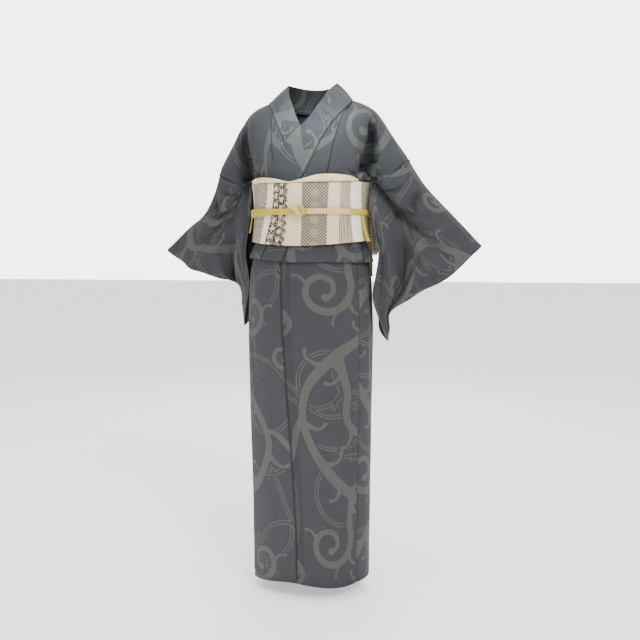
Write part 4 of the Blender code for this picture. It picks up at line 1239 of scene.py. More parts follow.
def measured(grid: Array, across: Array) -> Array:
    """Cloth places of a coarse grid: columns at given widths, rows by distance travelled.

    Args:
        grid: Rows and columns of points.
        across: Place of each column, across the cloth.

    Returns:
        The places, across and along.
    """
    return np.stack(np.broadcast_arrays(across, travel(grid)[:, None]), axis=-1)


SEAM_GAP = 0.0003
HALF_GAP = SEAM_GAP / 2
SKIRT_MIDDLE = (0.0, 0.0, -0.7)
CHEST_MIDDLE = (0.0, 0.0, -0.15)


@dataclass
class Skirt:
    """The six lengths below the sash, wrapped left over right."""

    top: float = -0.3724
    hem: float = -1.266
    side_seam: float = 0.165
    hip: float = 0.463
    okumi: float = 0.150
    layer: float = 0.0041
    skin: float = 0.0004
    under_depth: float = 0.0040
    under_lift: float = 0.012
    under_seam: float = 0.055
    under_edge: float = 0.165
    hem_drop: tuple = (
        (-0.200, 0.0115), (-0.120, 0.006), (-0.075, -0.001), (-0.020, -0.007),
        (0.030, -0.002), (0.070, 0.003), (0.115, 0.004), (0.165, 0.000),
    )
    rows: int = 30
    columns: int = 16

    def _side(self, height: float) -> float:
        """Girth place of the side seam."""
        return self.side_seam * FIGURE.half_girth(height) / self.hip

    def _front_edge(self, height: float) -> float:
        """Girth place of the seam between the left front and its okumi."""
        return float(mix(-0.047, -0.006, ease((-0.42 - height) / 0.80)))

    def _over(self, across: Array, height: float) -> Array:
        """How far the layer on top stands off the figure."""
        top = mix(0.85, 1.0, ease((self.top - height) / 0.05))
        return self.layer * top * ease((0.155 - across) / 0.05) + self.skin

    def _under(self, across: Array, height: float) -> Array:
        """How far the layer beneath stands off the figure."""
        return self.skin - self.under_depth * ease((across + 0.02) / 0.10)

    def _plain(self, across: Array, height: float) -> Array:
        """How far a back stands off the figure."""
        return np.full_like(across, self.skin)

    def _drop(self, across: Array, share: float) -> Array:
        """How far the lower edge of the layer on top hangs from the level."""
        return -smooth(self.hem_drop, across)[..., 0] * share

    def _lift(self, across: Array, share: float) -> Array:
        """How far the layer beneath is drawn up."""
        return np.full_like(across, self.under_lift * share)

    def _level(self, across: Array, share: float) -> Array:
        """How far a back is drawn up: nowhere."""
        return np.zeros_like(across)

    def build(self, cloth: bpy.types.Material) -> None:
        """Make the six lengths.

        Args:
            cloth: Finish of the kimono's cloth.
        """
        side, front_edge, half = self._side, self._front_edge, FIGURE.half_girth
        long_folds = (
            Crease((0.050, 0.02), (0.058, 0.52), 0.0028, 0.016, 0.006),
            Crease((0.150, 0.00), (0.128, 0.34), 0.0044, 0.012, -0.006),
            Crease((0.110, 0.42), (0.120, 0.88), 0.0026, 0.022, 0.004),
            Crease((0.010, 0.12), (0.140, 0.06), 0.0022, 0.012, 0.004),
        )
        narrow_folds = (
            Crease((0.035, 0.04), (0.050, 0.40), 0.0018, 0.012, 0.004),
            Crease((0.110, 0.30), (0.095, 0.86), 0.0016, 0.014, -0.004),
        )
        back_folds = (
            Crease((0.060, 0.00), (0.075, 0.46), 0.0026, 0.014, 0.008),
            Crease((0.185, 0.02), (0.170, 0.62), 0.0024, 0.016, -0.008),
            Crease((0.240, 0.10), (0.250, 0.80), 0.0020, 0.020, 0.006),
        )
        # node, edges, stand-off, drop, width, sewn and free edges, creases, place in the pattern
        plan = (
            (
                "skirt_back_left", lambda h: side(h) + HALF_GAP, lambda h: half(h) - HALF_GAP,
                self._plain, self._level, 0.300, "left right", "bottom", back_folds, (0.11, 0.30),
            ), (
                "skirt_back_right", lambda h: -half(h) + HALF_GAP, lambda h: -side(h) - HALF_GAP,
                self._plain, self._level, 0.300, "left right", "bottom", back_folds, (0.00, 0.05),
            ), (
                "skirt_front_left", lambda h: front_edge(h) + HALF_GAP, lambda h: side(h) - HALF_GAP,
                self._over, self._drop, 0.200, "left right", "bottom", long_folds, (0.03, 0.12),
            ), (
                "skirt_okumi_left", lambda h: front_edge(h) - self.okumi, lambda h: front_edge(h) - HALF_GAP,
                self._over, self._drop, 0.150, "right", "left bottom", narrow_folds, (0.215, 0.38),
            ), (
                "skirt_front_right", lambda h: -side(h) + HALF_GAP, lambda h: self.under_seam - HALF_GAP,
                self._under, self._lift, 0.220, "left right", "bottom", (), (0.20, 0.0),
            ), (
                "skirt_okumi_right", lambda h: self.under_seam + HALF_GAP, lambda h: self.under_edge,
                self._under, self._lift, 0.110, "left", "right bottom", (), (0.05, 0.2),
            ),
        )
        for node, start, end, offset, rise, wide, sewn, free, creases, origin in plan:
            lines = []
            for share in np.linspace(0.0, 1.0, self.rows):
                height = float(mix(self.top, self.hem, share))
                across = np.linspace(start(height), end(height), self.columns)
                angle = FIGURE.angle(across, height)
                lines.append(FIGURE.place(angle, height + rise(across, share), offset(across, height)))
            grid = np.array(lines)
            over_seam = node == "skirt_front_left"
            under = (("left", 0.024), ("bottom", 0.012)) if over_seam else (("bottom", 0.012),)
            faint = "" if "okumi" in node else ("right" if over_seam else "left right")
            places = measured(grid, np.linspace(0.0, wide, self.columns))
            Cloth(
                node + "_cloth", node, grid, places, SKIRT_MIDDLE, creases=creases, sewn=sewn, free=free,
                under=under, faint=faint, origin=origin, spacing=0.0048,
            ).build(cloth, "kimono_cloth", (wide, abs(self.hem - self.top)), Hold.HUNG)


@dataclass
class Body:
    """What the lengths above the sash share: seams, layers and the waist fold."""

    row_shares: tuple = (
        0.0, 0.006, 0.03, 0.05, 0.08, 0.11, 0.15, 0.19, 0.23, 0.27, 0.295, 0.31, 0.32, 0.33, 0.345, 0.375,
        0.43, 0.49, 0.55, 0.61, 0.67, 0.73, 0.79, 0.85, 0.90, 0.95, 1.0,
    )
    sash_rows: tuple = (-0.2085, -0.222, -0.242, -0.262, -0.287, -0.312, -0.342, -0.3715)
    neck_share: float = 0.32
    nape_level: float = -0.0125
    back_drop: float = 0.0006
    arm_level: float = -0.200
    okumi_tip: float = -0.016
    under_offset: float = 0.0014
    over_offset: float = 0.0066
    over_lift: float = 0.0046
    skin: float = 0.0004
    seam_share: float = 0.33
    collar_seam: dict = field(default_factory=lambda: {
        Side.LEFT: (
            (0.000, 0.112), (-0.0127, 0.1176), (-0.050, 0.095), (-0.100, 0.066), (-0.160, 0.036),
            (-0.218, 0.0066),
        ),
        Side.RIGHT: (
            (0.000, 0.112), (-0.0186, 0.0960), (-0.060, 0.070), (-0.120, 0.038), (-0.160, 0.024),
            (-0.218, 0.004),
        ),
    })
    okumi_seam: dict = field(default_factory=lambda: {
        Side.LEFT: (
            (0.000, 0.1125), (-0.0127, 0.1182), (-0.034, 0.1075), (-0.060, 0.1015), (-0.123, 0.0885),
            (-0.205, 0.0705),
        ),
        Side.RIGHT: (
            (0.000, 0.1125), (-0.0186, 0.0968), (-0.036, 0.0872), (-0.060, 0.0810), (-0.123, 0.0740),
            (-0.205, 0.0705),
        ),
    })
    # height, then girth places of collar edge, collar seam, okumi seam and side seam, as in Seam
    girth_places: tuple = (
        (-0.205, -0.074, 0.012, 0.070, 0.200), (-0.250, -0.098, -0.018, 0.052, 0.190),
        (-0.300, -0.122, -0.048, 0.020, 0.180), (-0.372, -0.150, -0.088, -0.022, 0.168),
        (-0.430, -0.166, -0.106, -0.040, 0.165),
    )
    fold: tuple = (
        (-0.372, 0.0066), (-0.384, 0.0092), (-0.398, 0.0122), (-0.410, 0.0140),
        (-0.4175, 0.0140), (-0.4205, 0.0120), (-0.4195, 0.0096), (-0.412, 0.0082), (-0.396, 0.0070),
    )
    neckline: tuple = (
        (0.00, 0.112, 0.000), (0.25, 0.100, -0.003), (0.50, 0.066, -0.008), (0.75, 0.032, -0.011),
        (1.00, 0.000, -0.012),
    )

    def level(self, share: Array) -> Array:
        """Height of a body row at its inner seam."""
        return self.arm_level * share**0.8

    def girth(self, seam: Seam, height: float) -> float:
        """Girth place of a seam of the layer on top."""
        return float(entry(self.girth_places, height)[seam])

    def beside(self, seam: Seam, side: Side, gap: float) -> Callable[[float], float]:
        """Girth place a small gap away from a seam of one side, at any height."""
        return lambda height: side.sign * (self.girth(seam, height) + gap)

    def lift(self, side: Side, height: Array) -> Array:
        """How far the left layers stand over the right ones above the sash."""
        if side is Side.RIGHT:
            return np.full_like(height, self.skin)
        return self.skin + self.over_lift * ease((-0.03 - height) / 0.05)

    def layer(self, side: Side) -> float:
        """How far a front stands off the figure under the sash."""
        return self.under_offset if side is Side.RIGHT else self.over_offset

    def wrapped(self, start: float, end: float, height: float, offset: float, columns: int) -> Array:
        """One level row round the figure between two girth places, at a distance off it."""
        angle = FIGURE.angle(np.linspace(start, end, columns), height)
        return FIGURE.place(angle, np.full(columns, height), offset)

    def folded(self, start: Callable[[float], float], end: Callable[[float], float], columns: int) -> list:
        """Lay the waist fold, down its outside, round its lower edge and up behind.

        Args:
            start: Girth place of its first edge at a height.
            end: Girth place of its last edge at a height.
            columns: Number of points in a row.

        Returns:
            The fold's rows.
        """
        lines = []
        for height, offset in self.fold[1:]:
            across = np.linspace(start(height), end(height), columns)
            lift = 0.010 * ease(-across / 0.16) * ease((0.30 + across) / 0.10)
            raised = height + lift * np.clip((self.sash_rows[-1] - height) / 0.05, 0.0, 1.0)
            lines.append(FIGURE.place(FIGURE.angle(across, height), raised, offset))
        return lines

    def row(
        self, side: Side, face: Face, place_in: float, level_in: float, share: float, columns: int,
    ) -> Array:
        """Lay one row of a body length, from its inner seam out to the sleeve seam.

        Args:
            side: The wearer's side.
            face: Front or back.
            place_in: Distance out of the inner seam.
            level_in: Height of the inner seam.
            share: Place of the row between the shoulder line and the sash.
            columns: Number of points.

        Returns:
            The row's points.
        """
        sleeve = Sleeve(side)
        edge = sleeve.inner_edge(face, np.array([share * self.seam_share]))[0]
        edge = edge - sleeve.arm_way() * SEAM_GAP
        top_out = abs(sleeve.inner_edge(face, np.array([0.0]))[0][0])
        u = np.linspace(0.0, 1.0, columns)
        out = mix(place_in, abs(edge[0]), u)
        top = FIGURE.shoulder(side, mix(0.1135, top_out, u))
        bow = top - mix(top[0], top[-1], u)
        height = mix(level_in, edge[2], u) + bow * (1 - share) ** 2
        lift = self.lift(side, height) if face is Face.FRONT else 0.0 * height
        line = FIGURE.torso(side, face, out, height, lift)
        return line + (edge - line[-1]) * (u**5)[:, None]


BODY = Body()


@dataclass
class Upper:
    """One length of body cloth: up the front, over the shoulder and down the back."""

    side: Side
    columns: int = 20
    neck_ease: float = 0.0006
    width: float = 0.216
    origins: dict = field(default_factory=lambda: {Side.LEFT: (0.06, 0.17), Side.RIGHT: (0.25, 0.02)})
    flats: dict = field(default_factory=lambda: {Side.LEFT: (0.23, 1.00), Side.RIGHT: (0.22, 0.92)})

    def _front(self) -> list:
        """Rows of the front from the shoulder line down to the sash."""
        lines = []
        for share in BODY.row_shares:
            level = BODY.level(share)
            okumi = entry(BODY.okumi_seam[self.side], level)[0] + HALF_GAP
            collar = entry(BODY.collar_seam[self.side], level)[0] + self.neck_ease
            lines.append(BODY.row(self.side, Face.FRONT, max(okumi, collar), level, share, self.columns))
        return lines

    def _back(self) -> list:
        """Rows of the back from the shoulder line down to the sash, past the neckline."""
        lines = []
        for share in BODY.row_shares[1:]:
            if share < BODY.neck_share:
                place, level = entry(BODY.neckline, share / BODY.neck_share)
            else:
                place = 0.0
                below = (share - BODY.neck_share) / (1 - BODY.neck_share)
                level = mix(BODY.nape_level, BODY.arm_level, below)
            place = max(place, 0.0) + HALF_GAP
            level -= BODY.back_drop
            lines.append(BODY.row(self.side, Face.BACK, place, level, share, self.columns))
        return lines

    def _centre(self, height: float) -> float:
        """Girth place beside the centre back seam."""
        return self.side.sign * (FIGURE.half_girth(height) - HALF_GAP)

    def build(self, cloth: bpy.types.Material) -> None:
        """Make the length.

        Args:
            cloth: Finish of the kimono's cloth.
        """
        okumi = BODY.beside(Seam.OKUMI, self.side, HALF_GAP)
        front_edge = BODY.beside(Seam.SIDE, self.side, -HALF_GAP)
        back_edge = BODY.beside(Seam.SIDE, self.side, HALF_GAP)
        columns = self.columns
        front = self._front()
        back = self._back()
        for z in BODY.sash_rows:
            front.append(BODY.wrapped(okumi(z), front_edge(z), z, BODY.layer(self.side), columns))
            back.append(BODY.wrapped(self._centre(z), back_edge(z), z, BODY.over_offset, columns))
        if self.side is Side.LEFT:
            front += BODY.folded(okumi, front_edge, columns)
        back += BODY.folded(self._centre, back_edge, columns)
        grid = np.array(list(reversed(back)) + front)
        places = measured(grid, np.linspace(0.0, self.width, columns))
        shoulder = places[len(back), 0, 1]
        places[..., 1] -= shoulder
        folds = (
            # front, from the armpit towards the collar and down the chest
            Crease((0.205, 0.235), (0.070, 0.120), 0.0052, 0.009, 0.008),
            Crease((0.205, 0.215), (0.110, 0.055), 0.0046, 0.010, -0.006),
            Crease((0.195, 0.250), (0.060, 0.190), 0.0040, 0.008, 0.005),
            Crease((0.084, 0.022), (0.165, 0.232), 0.0350, 0.0145, 0.0, 0.06, 1.5),
            Crease((0.090, 0.080), (0.120, 0.260), 0.0024, 0.012, -0.005),
            Crease((0.150, 0.110), (0.160, 0.280), 0.0042, 0.009, 0.004),
            # back, from the armpit towards the nape and across the shoulder blades
            Crease((0.200, -0.230), (0.060, -0.120), 0.0036, 0.011, -0.010),
            Crease((0.195, -0.250), (0.050, -0.200), 0.0032, 0.010, -0.006),
            Crease((0.180, -0.060), (0.110, -0.210), 0.0026, 0.013, 0.008),
            Crease((0.040, -0.090), (0.050, -0.240), 0.0022, 0.014, 0.006),
            # waist fold
            Crease((0.050, 0.395), (0.056, 0.470), 0.0022, 0.007, 0.002),
            Crease((0.120, 0.400), (0.114, 0.470), 0.0018, 0.006, -0.002),
            Crease((0.170, 0.395), (0.176, 0.470), 0.0024, 0.007, 0.002),
        )
        if self.side is Side.RIGHT:
            folds = tuple(
                Crease(f.start, f.end, 0.85 * min(f.depth, 0.012), 1.1 * f.width, -0.6 * f.bend)
                for f in folds
            )
        node = "upper_" + self.side.value
        Cloth(
            node + "_cloth", node, grid, places, CHEST_MIDDLE, creases=folds, sewn="left right",
            free="bottom", tuck="left right", origin=self.origins[self.side], spacing=0.0040,
        ).build(cloth, "kimono_cloth", self.flats[self.side], Hold.DRAPED)


@dataclass
class OkumiUpper:
    """The strip between collar and front, down to the sash and, on top, the waist fold."""

    side: Side
    columns: int = 8
    width: float = 0.065

    def build(self, cloth: bpy.types.Material) -> None:
        """Make the strip.

        Args:
            cloth: Finish of the kimono's cloth.
        """
        collar = BODY.beside(Seam.COLLAR, self.side, HALF_GAP)
        okumi = BODY.beside(Seam.OKUMI, self.side, -HALF_GAP)
        lines = []
        for height in (BODY.level(share) for share in BODY.row_shares):
            if height >= BODY.okumi_tip:
                continue
            start = entry(BODY.collar_seam[self.side], height)[0] + HALF_GAP
            end = entry(BODY.okumi_seam[self.side], height)[0] - HALF_GAP
            out = np.linspace(start, end, self.columns)
            level = np.full(self.columns, height)
            lines.append(FIGURE.torso(self.side, Face.FRONT, out, level, BODY.lift(self.side, level)))
        for z in BODY.sash_rows:
            lines.append(BODY.wrapped(collar(z), okumi(z), z, BODY.layer(self.side), self.columns))
        if self.side is Side.LEFT:
            lines += BODY.folded(collar, okumi, self.columns)
        grid = np.array(lines)
        places = measured(grid, np.linspace(0.0, self.width, self.columns))
        node = "okumi_upper_" + self.side.value
        long = 0.40 if self.side is Side.LEFT else 0.30
        Cloth(
            node + "_cloth", node, grid, places, CHEST_MIDDLE, sewn="left right", free="bottom", tuck="left",
            origin=(0.19, 0.24), spacing=0.0036,
        ).build(cloth, "kimono_cloth", (0.062, long), Hold.DRAPED)


@dataclass
class Collar:
    """One long folded band, from the left end round the neck to the right end underneath."""

    columns: int = 11
    width: float = 0.060
    wall: float = 0.0020
    bulge: float = 0.004
    # seam height, then the edge's distance out, its depth and its height
    edges: dict = field(default_factory=lambda: {
        Side.LEFT: (
            (0.000, 0.066, 0.022, 0.052), (-0.0127, 0.060, -0.010, 0.036),
            (-0.050, 0.043, -0.052, -0.004), (-0.100, 0.018, -0.093, -0.058),
            (-0.160, -0.026, -0.119, -0.108), (-0.218, -0.072, -0.111, -0.176),
        ),
        Side.RIGHT: (
            (0.000, 0.066, 0.022, 0.051), (-0.0186, 0.057, -0.012, 0.030),
            (-0.060, 0.034, -0.058, -0.014), (-0.120, -0.004, -0.104, -0.084),
            (-0.160, -0.022, -0.114, -0.110), (-0.218, -0.060, -0.112, -0.176),
        ),
    })
    # share of the way round the nape, then the seam's distance out and height, and the edge's as above
    nape: tuple = (
        (0.00, 0.112, 0.000, 0.066, 0.022, 0.052), (0.25, 0.100, -0.003, 0.060, 0.052, 0.054),
        (0.50, 0.066, -0.008, 0.042, 0.076, 0.053), (0.75, 0.032, -0.011, 0.021, 0.088, 0.051),
        (1.00, 0.000, -0.012, 0.000, 0.092, 0.050),
    )
    slant: tuple = ((-0.372, 0.000), (-0.300, 0.004), (-0.250, 0.016), (-0.2085, 0.036))

    def _chest(self, side: Side) -> list:
        """Lay the rows from the neck's side down to the sash.

        Args:
            side: The wearer's side.

        Returns:
            The rows.
        """
        lines = []
        share = np.linspace(0.0, 1.0, self.columns)
        for height in [BODY.level(s) for s in BODY.row_shares[1:]]:
            seam_out = entry(BODY.collar_seam[side], height)[0] - HALF_GAP
            edge_out, edge_fore, edge_height = entry(self.edges[side], height)
            out = mix(edge_out, seam_out, share)
            level = mix(edge_height, height, share)
            lying = FIGURE.torso(side, Face.FRONT, out, level, BODY.lift(side, np.full_like(out, height)))
            standing = lying.copy()
            standing[:, 1] = mix(edge_fore, lying[-1, 1], share) - self.bulge * np.sin(math.pi * share)
            lines.append(mix(standing, lying, ease((-0.035 - height) / 0.07)))
        return lines

    def _sash(self, side: Side) -> list:
        """Lay the rows beneath the sash.

        Args:
            side: The wearer's side.

        Returns:
            The rows.
        """
        lines = []
        for height in BODY.sash_rows:
            slant = float(entry(self.slant, height)[0])
            seam = BODY.girth(Seam.COLLAR, height) - HALF_GAP
            across = np.linspace(BODY.girth(Seam.COLLAR_EDGE, height), seam, self.columns)
            level = np.linspace(height + slant, height, self.columns)
            angle = np.array([FIGURE.angle(a, z) for a, z in zip(across, level)])
            line = FIGURE.place(angle, level, BODY.layer(side))
            line[:, 0] *= side.sign
            lines.append(line)
        return lines

    def _nape(self) -> list:
        """Rows from the left side of the neck, round the nape, to the right side."""
        lines = []
        share = np.linspace(0.0, 1.0, self.columns)
        for step in [share / BODY.neck_share for share in BODY.row_shares if share <= BODY.neck_share]:
            seam_out, seam_height, edge_out, edge_fore, edge_height = entry(self.nape, step)
            out, level = np.array([[max(seam_out - HALF_GAP, 0.0)], [seam_height + BODY.back_drop]])
            seam = FIGURE.torso(Side.LEFT, Face.BACK, out, level, 0.0)
            edge = np.array([max(edge_out, 0.0), edge_fore, edge_height])
            away = np.array([edge_out, 0.7 * max(edge_fore, 0.01), 0.0])
            away /= max(np.linalg.norm(away), 1e-6)
            line = mix(edge, seam[0], share[:, None])
            lines.append(line + (self.bulge * np.sin(math.pi * share))[:, None] * away)
        mirrored = [line * np.array([-1.0, 1.0, 1.0]) for line in reversed(lines[:-1])]
        return lines + mirrored

    def build(self, cloth: bpy.types.Material) -> None:
        """Make the band.

        Args:
            cloth: Finish of the kimono's cloth.
        """
        edge = BODY.beside(Seam.COLLAR_EDGE, Side.LEFT, 0.0)
        seam = BODY.beside(Seam.COLLAR, Side.LEFT, -HALF_GAP)
        left = self._chest(Side.LEFT) + self._sash(Side.LEFT) + BODY.folded(edge, seam, self.columns)
        right = self._chest(Side.RIGHT) + self._sash(Side.RIGHT)
        grid = np.array(list(reversed(left)) + self._nape() + right)
        places = measured(grid, np.linspace(0.0, self.width, self.columns))
        # the collar's seam edge stands up to a ridge, with painted shade at the seam and a painted highlight
        # on the ridge
        Cloth(
            "collar_band", "collar", grid, places, CHEST_MIDDLE, wall=self.wall,
            tuck="right", ridged="right", origin=(0.11, 0.09), spacing=0.0024, rest=0.0004,
        ).build(cloth, "kimono_cloth", (0.062, 1.62), Hold.FOLDED)


@dataclass
class Sleeve:
    """A bag of cloth folded over the arm, open at the cuff and below the armpit."""

    side: Side
    width: float = 0.33
    length: float = 0.49
    ridge_column: float = 0.30
    valley_column: float = 0.50
    spread: float = 0.13
    cuff_half_depth: float = 0.022
    sewn_half_depth: float = 0.0026
    cuff_share: float = 0.45
    columns: tuple = (
        0.0, 0.05, 0.10, 0.15, 0.20, 0.25, 0.30, 0.35, 0.40, 0.45, 0.50, 0.56, 0.63, 0.71, 0.80, 0.90, 1.0,
    )
    free_shares: tuple = (
        0.365, 0.40, 0.44, 0.48, 0.52, 0.56, 0.60, 0.64, 0.68, 0.72, 0.76, 0.80, 0.84, 0.88, 0.92, 0.96, 1.0,
    )
    origins: dict = field(default_factory=lambda: {Side.LEFT: (0.22, 0.31), Side.RIGHT: (0.02, 0.12)})
    flats: dict = field(default_factory=lambda: {Side.LEFT: (0.27, 0.88), Side.RIGHT: (0.24, 0.84)})
    # share down the cloth, then distance out, depth and height
    inner: dict = field(default_factory=lambda: {
        (Side.LEFT, Face.FRONT): (
            (0.00, 0.2617, 0.000, -0.1580), (0.03, 0.2560, -0.028, -0.1660), (0.08, 0.2460, -0.043, -0.1820),
            (0.15, 0.2173, -0.050, -0.2030), (0.22, 0.1943, -0.047, -0.2130), (0.28, 0.1800, -0.028, -0.2120),
            (0.33, 0.1700, 0.000, -0.2020), (0.40, 0.1690, -0.030, -0.2400), (0.55, 0.1770, -0.040, -0.3380),
            (0.64, 0.1890, -0.036, -0.3920), (0.76, 0.1790, -0.030, -0.4670), (0.83, 0.1730, -0.030, -0.5100),
            (0.93, 0.1930, -0.008, -0.5850), (1.00, 0.2070, 0.018, -0.6320),
        ),
        (Side.LEFT, Face.BACK): (
            (0.00, 0.2617, 0.000, -0.1580), (0.03, 0.2560, 0.028, -0.1660), (0.08, 0.2460, 0.045, -0.1820),
            (0.15, 0.2173, 0.055, -0.2030), (0.22, 0.1943, 0.056, -0.2130), (0.28, 0.1800, 0.040, -0.2120),
            (0.33, 0.1700, 0.018, -0.2020), (0.40, 0.1690, 0.046, -0.2500), (0.55, 0.1730, 0.062, -0.3500),
            (0.70, 0.1770, 0.060, -0.4500), (0.83, 0.1760, 0.050, -0.5400), (0.93, 0.1830, 0.034, -0.6050),
            (1.00, 0.2070, 0.022, -0.6320),
        ),
        (Side.RIGHT, Face.FRONT): (
            (0.00, 0.2675, 0.030, -0.1710), (0.03, 0.2600, 0.004, -0.1780), (0.08, 0.2480, -0.010, -0.1900),
            (0.15, 0.2200, -0.018, -0.2040), (0.22, 0.1960, -0.018, -0.2100), (0.28, 0.1800, -0.008, -0.2080),
            (0.33, 0.1680, 0.008, -0.2000), (0.40, 0.1630, -0.012, -0.2400), (0.55, 0.1660, -0.026, -0.3300),
            (0.64, 0.1740, -0.030, -0.3900), (0.76, 0.1660, -0.030, -0.4580), (0.83, 0.1650, -0.030, -0.4900),
            (0.93, 0.1840, -0.004, -0.5500), (1.00, 0.1985, 0.022, -0.5960),
        ),
        (Side.RIGHT, Face.BACK): (
            (0.00, 0.2675, 0.030, -0.1710), (0.03, 0.2600, 0.056, -0.1780), (0.08, 0.2480, 0.070, -0.1900),
            (0.15, 0.2200, 0.076, -0.2040), (0.22, 0.1960, 0.072, -0.2100), (0.28, 0.1800, 0.052, -0.2080),
            (0.33, 0.1680, 0.026, -0.2000), (0.40, 0.1670, 0.052, -0.2500), (0.55, 0.1700, 0.070, -0.3400),
            (0.70, 0.1730, 0.068, -0.4300), (0.83, 0.1730, 0.056, -0.5100), (0.93, 0.1780, 0.040, -0.5700),
            (1.00, 0.1985, 0.026, -0.5960),
        ),
    })
    # the cuff's edge, in the same way
    outer: dict = field(default_factory=lambda: {
        Side.LEFT: (
            (0.00, 0.4495, 0.000, -0.3796), (0.16, 0.4205, -0.002, -0.4070), (0.32, 0.3908, -0.004, -0.4379),
            (0.46, 0.3633, -0.005, -0.4622), (0.58, 0.3345, -0.006, -0.4791), (0.69, 0.3023, -0.006, -0.4936),
            (0.80, 0.2649, -0.004, -0.5186), (0.92, 0.2135, 0.000, -0.5568), (1.00, 0.2120, 0.014, -0.5980),
        ),
        Side.RIGHT: (
            (0.00, 0.4374, 0.050, -0.3835), (0.14, 0.4120, 0.046, -0.4010), (0.28, 0.3800, 0.042, -0.4200),
            (0.42, 0.3600, 0.040, -0.4380), (0.60, 0.3200, 0.034, -0.4530), (0.76, 0.2700, 0.024, -0.4670),
            (0.90, 0.2060, 0.006, -0.4830), (1.00, 0.1990, 0.016, -0.5450),
        ),
    })
    # share across the cloth, then the fold over the arm
    top: dict = field(default_factory=lambda: {
        Side.LEFT: (
            (0.00, 0.2617, 0.000, -0.1580), (0.24, 0.3010, 0.000, -0.2203), (0.52, 0.3577, 0.000, -0.2824),
            (1.00, 0.4495, 0.000, -0.3796),
        ),
        Side.RIGHT: (
            (0.00, 0.2675, 0.030, -0.1710), (0.19, 0.2835, 0.035, -0.2253), (0.37, 0.3092, 0.040, -0.2745),
            (0.68, 0.3686, 0.045, -0.3241), (1.00, 0.4374, 0.050, -0.3835),
        ),
    })
    # share down the cloth, place across, ridge, valley of the main fold
    fold: tuple = (
        (0.00, 0.14, 0.000, 0.000), (0.24, 0.14, 0.000, 0.000), (0.38, 0.15, 0.006, 0.014),
        (0.55, 0.19, 0.013, 0.036), (0.66, 0.25, 0.015, 0.042), (0.78, 0.42, 0.014, 0.034),
        (0.88, 0.60, 0.010, 0.018), (1.00, 0.72, 0.002, 0.000),
    )

    def inner_edge(self, face: Face, share: Array) -> Array:
        """Point on the inner edge, whose upper part is sewn to the body."""
        turn = np.array([self.side.sign, 1.0, 1.0])
        return smooth(self.inner[(self.side, face)], share) * turn

    def arm_way(self) -> Array:
        """Direction of the upper arm, down and out from the shoulder."""
        top = smooth(self.top[self.side], np.array([0.0, 0.2]))
        way = (top[1] - top[0]) * np.array([self.side.sign, 1.0, 1.0])
        return way / np.linalg.norm(way)

    def at(self, face: Face, share: Array, column: Array) -> Array:
        """Point of the sleeve.

        Args:
            face: Front or back layer.
            share: Place down the cloth from the fold over the arm.
            column: Place across the cloth from the body to the cuff.

        Returns:
            The point.
        """
        fold = smooth(self.fold, share)
        ridge_at = fold[..., 0]
        past = (column - self.ridge_column) / (1 - self.ridge_column)
        near = ridge_at * column / self.ridge_column
        across = np.where(column < self.ridge_column, near, mix(ridge_at, 1.0, past))
        hold = ease(column / 0.15) * (1 - ease((column - 0.75) / 0.25))
        ridge = fold[..., 1] * bell(column, self.ridge_column, self.spread) * hold
        valley = fold[..., 2] * bell(column, self.valley_column, self.spread) * hold
        inner = smooth(self.inner[(self.side, face)], share)
        outer = smooth(self.outer[self.side], share)
        toward = -1.0 if face is Face.FRONT else 1.0
        open_depth = self.cuff_half_depth * (1 - ease((share - self.cuff_share) / 0.12))
        depth = (open_depth + self.sewn_half_depth) * np.sqrt(np.clip(share / 0.05, 0.0, 1.0))
        outer = outer + point(0.0 * depth, toward * depth, 0.0 * depth)
        top = smooth(self.top[self.side], across)
        ends = smooth(self.top[self.side], np.array([0.0, 1.0]))
        bow = top - mix(ends[0], ends[1], across[..., None])
        place = mix(inner, outer, across[..., None]) + bow * ((1 - share) ** 3)[..., None]
        push = valley - ridge
        return (place + point(0.0 * push, push, 0.0 * push)) * np.array([self.side.sign, 1.0, 1.0])

    def build(self, cloth: bpy.types.Material) -> None:
        """Make the sleeve.

        Args:
            cloth: Finish of the kimono's cloth.
        """
        column = np.array(self.columns)
        sewn = [share * BODY.seam_share for share in BODY.row_shares]
        loop = [(Face.FRONT, share) for share in sewn + list(self.free_shares)]
        loop += [(Face.BACK, share) for share in reversed(sewn[1:] + list(self.free_shares))]
        lines = []
        places = []
        for face, share in loop:
            lines.append(self.at(face, np.full_like(column, share), column))
            along = self.length * share * (1.0 if face is Face.FRONT else -1.0)
            places.append(np.stack([column * self.width, np.full_like(column, along)], axis=-1))
        grid = np.array(lines)
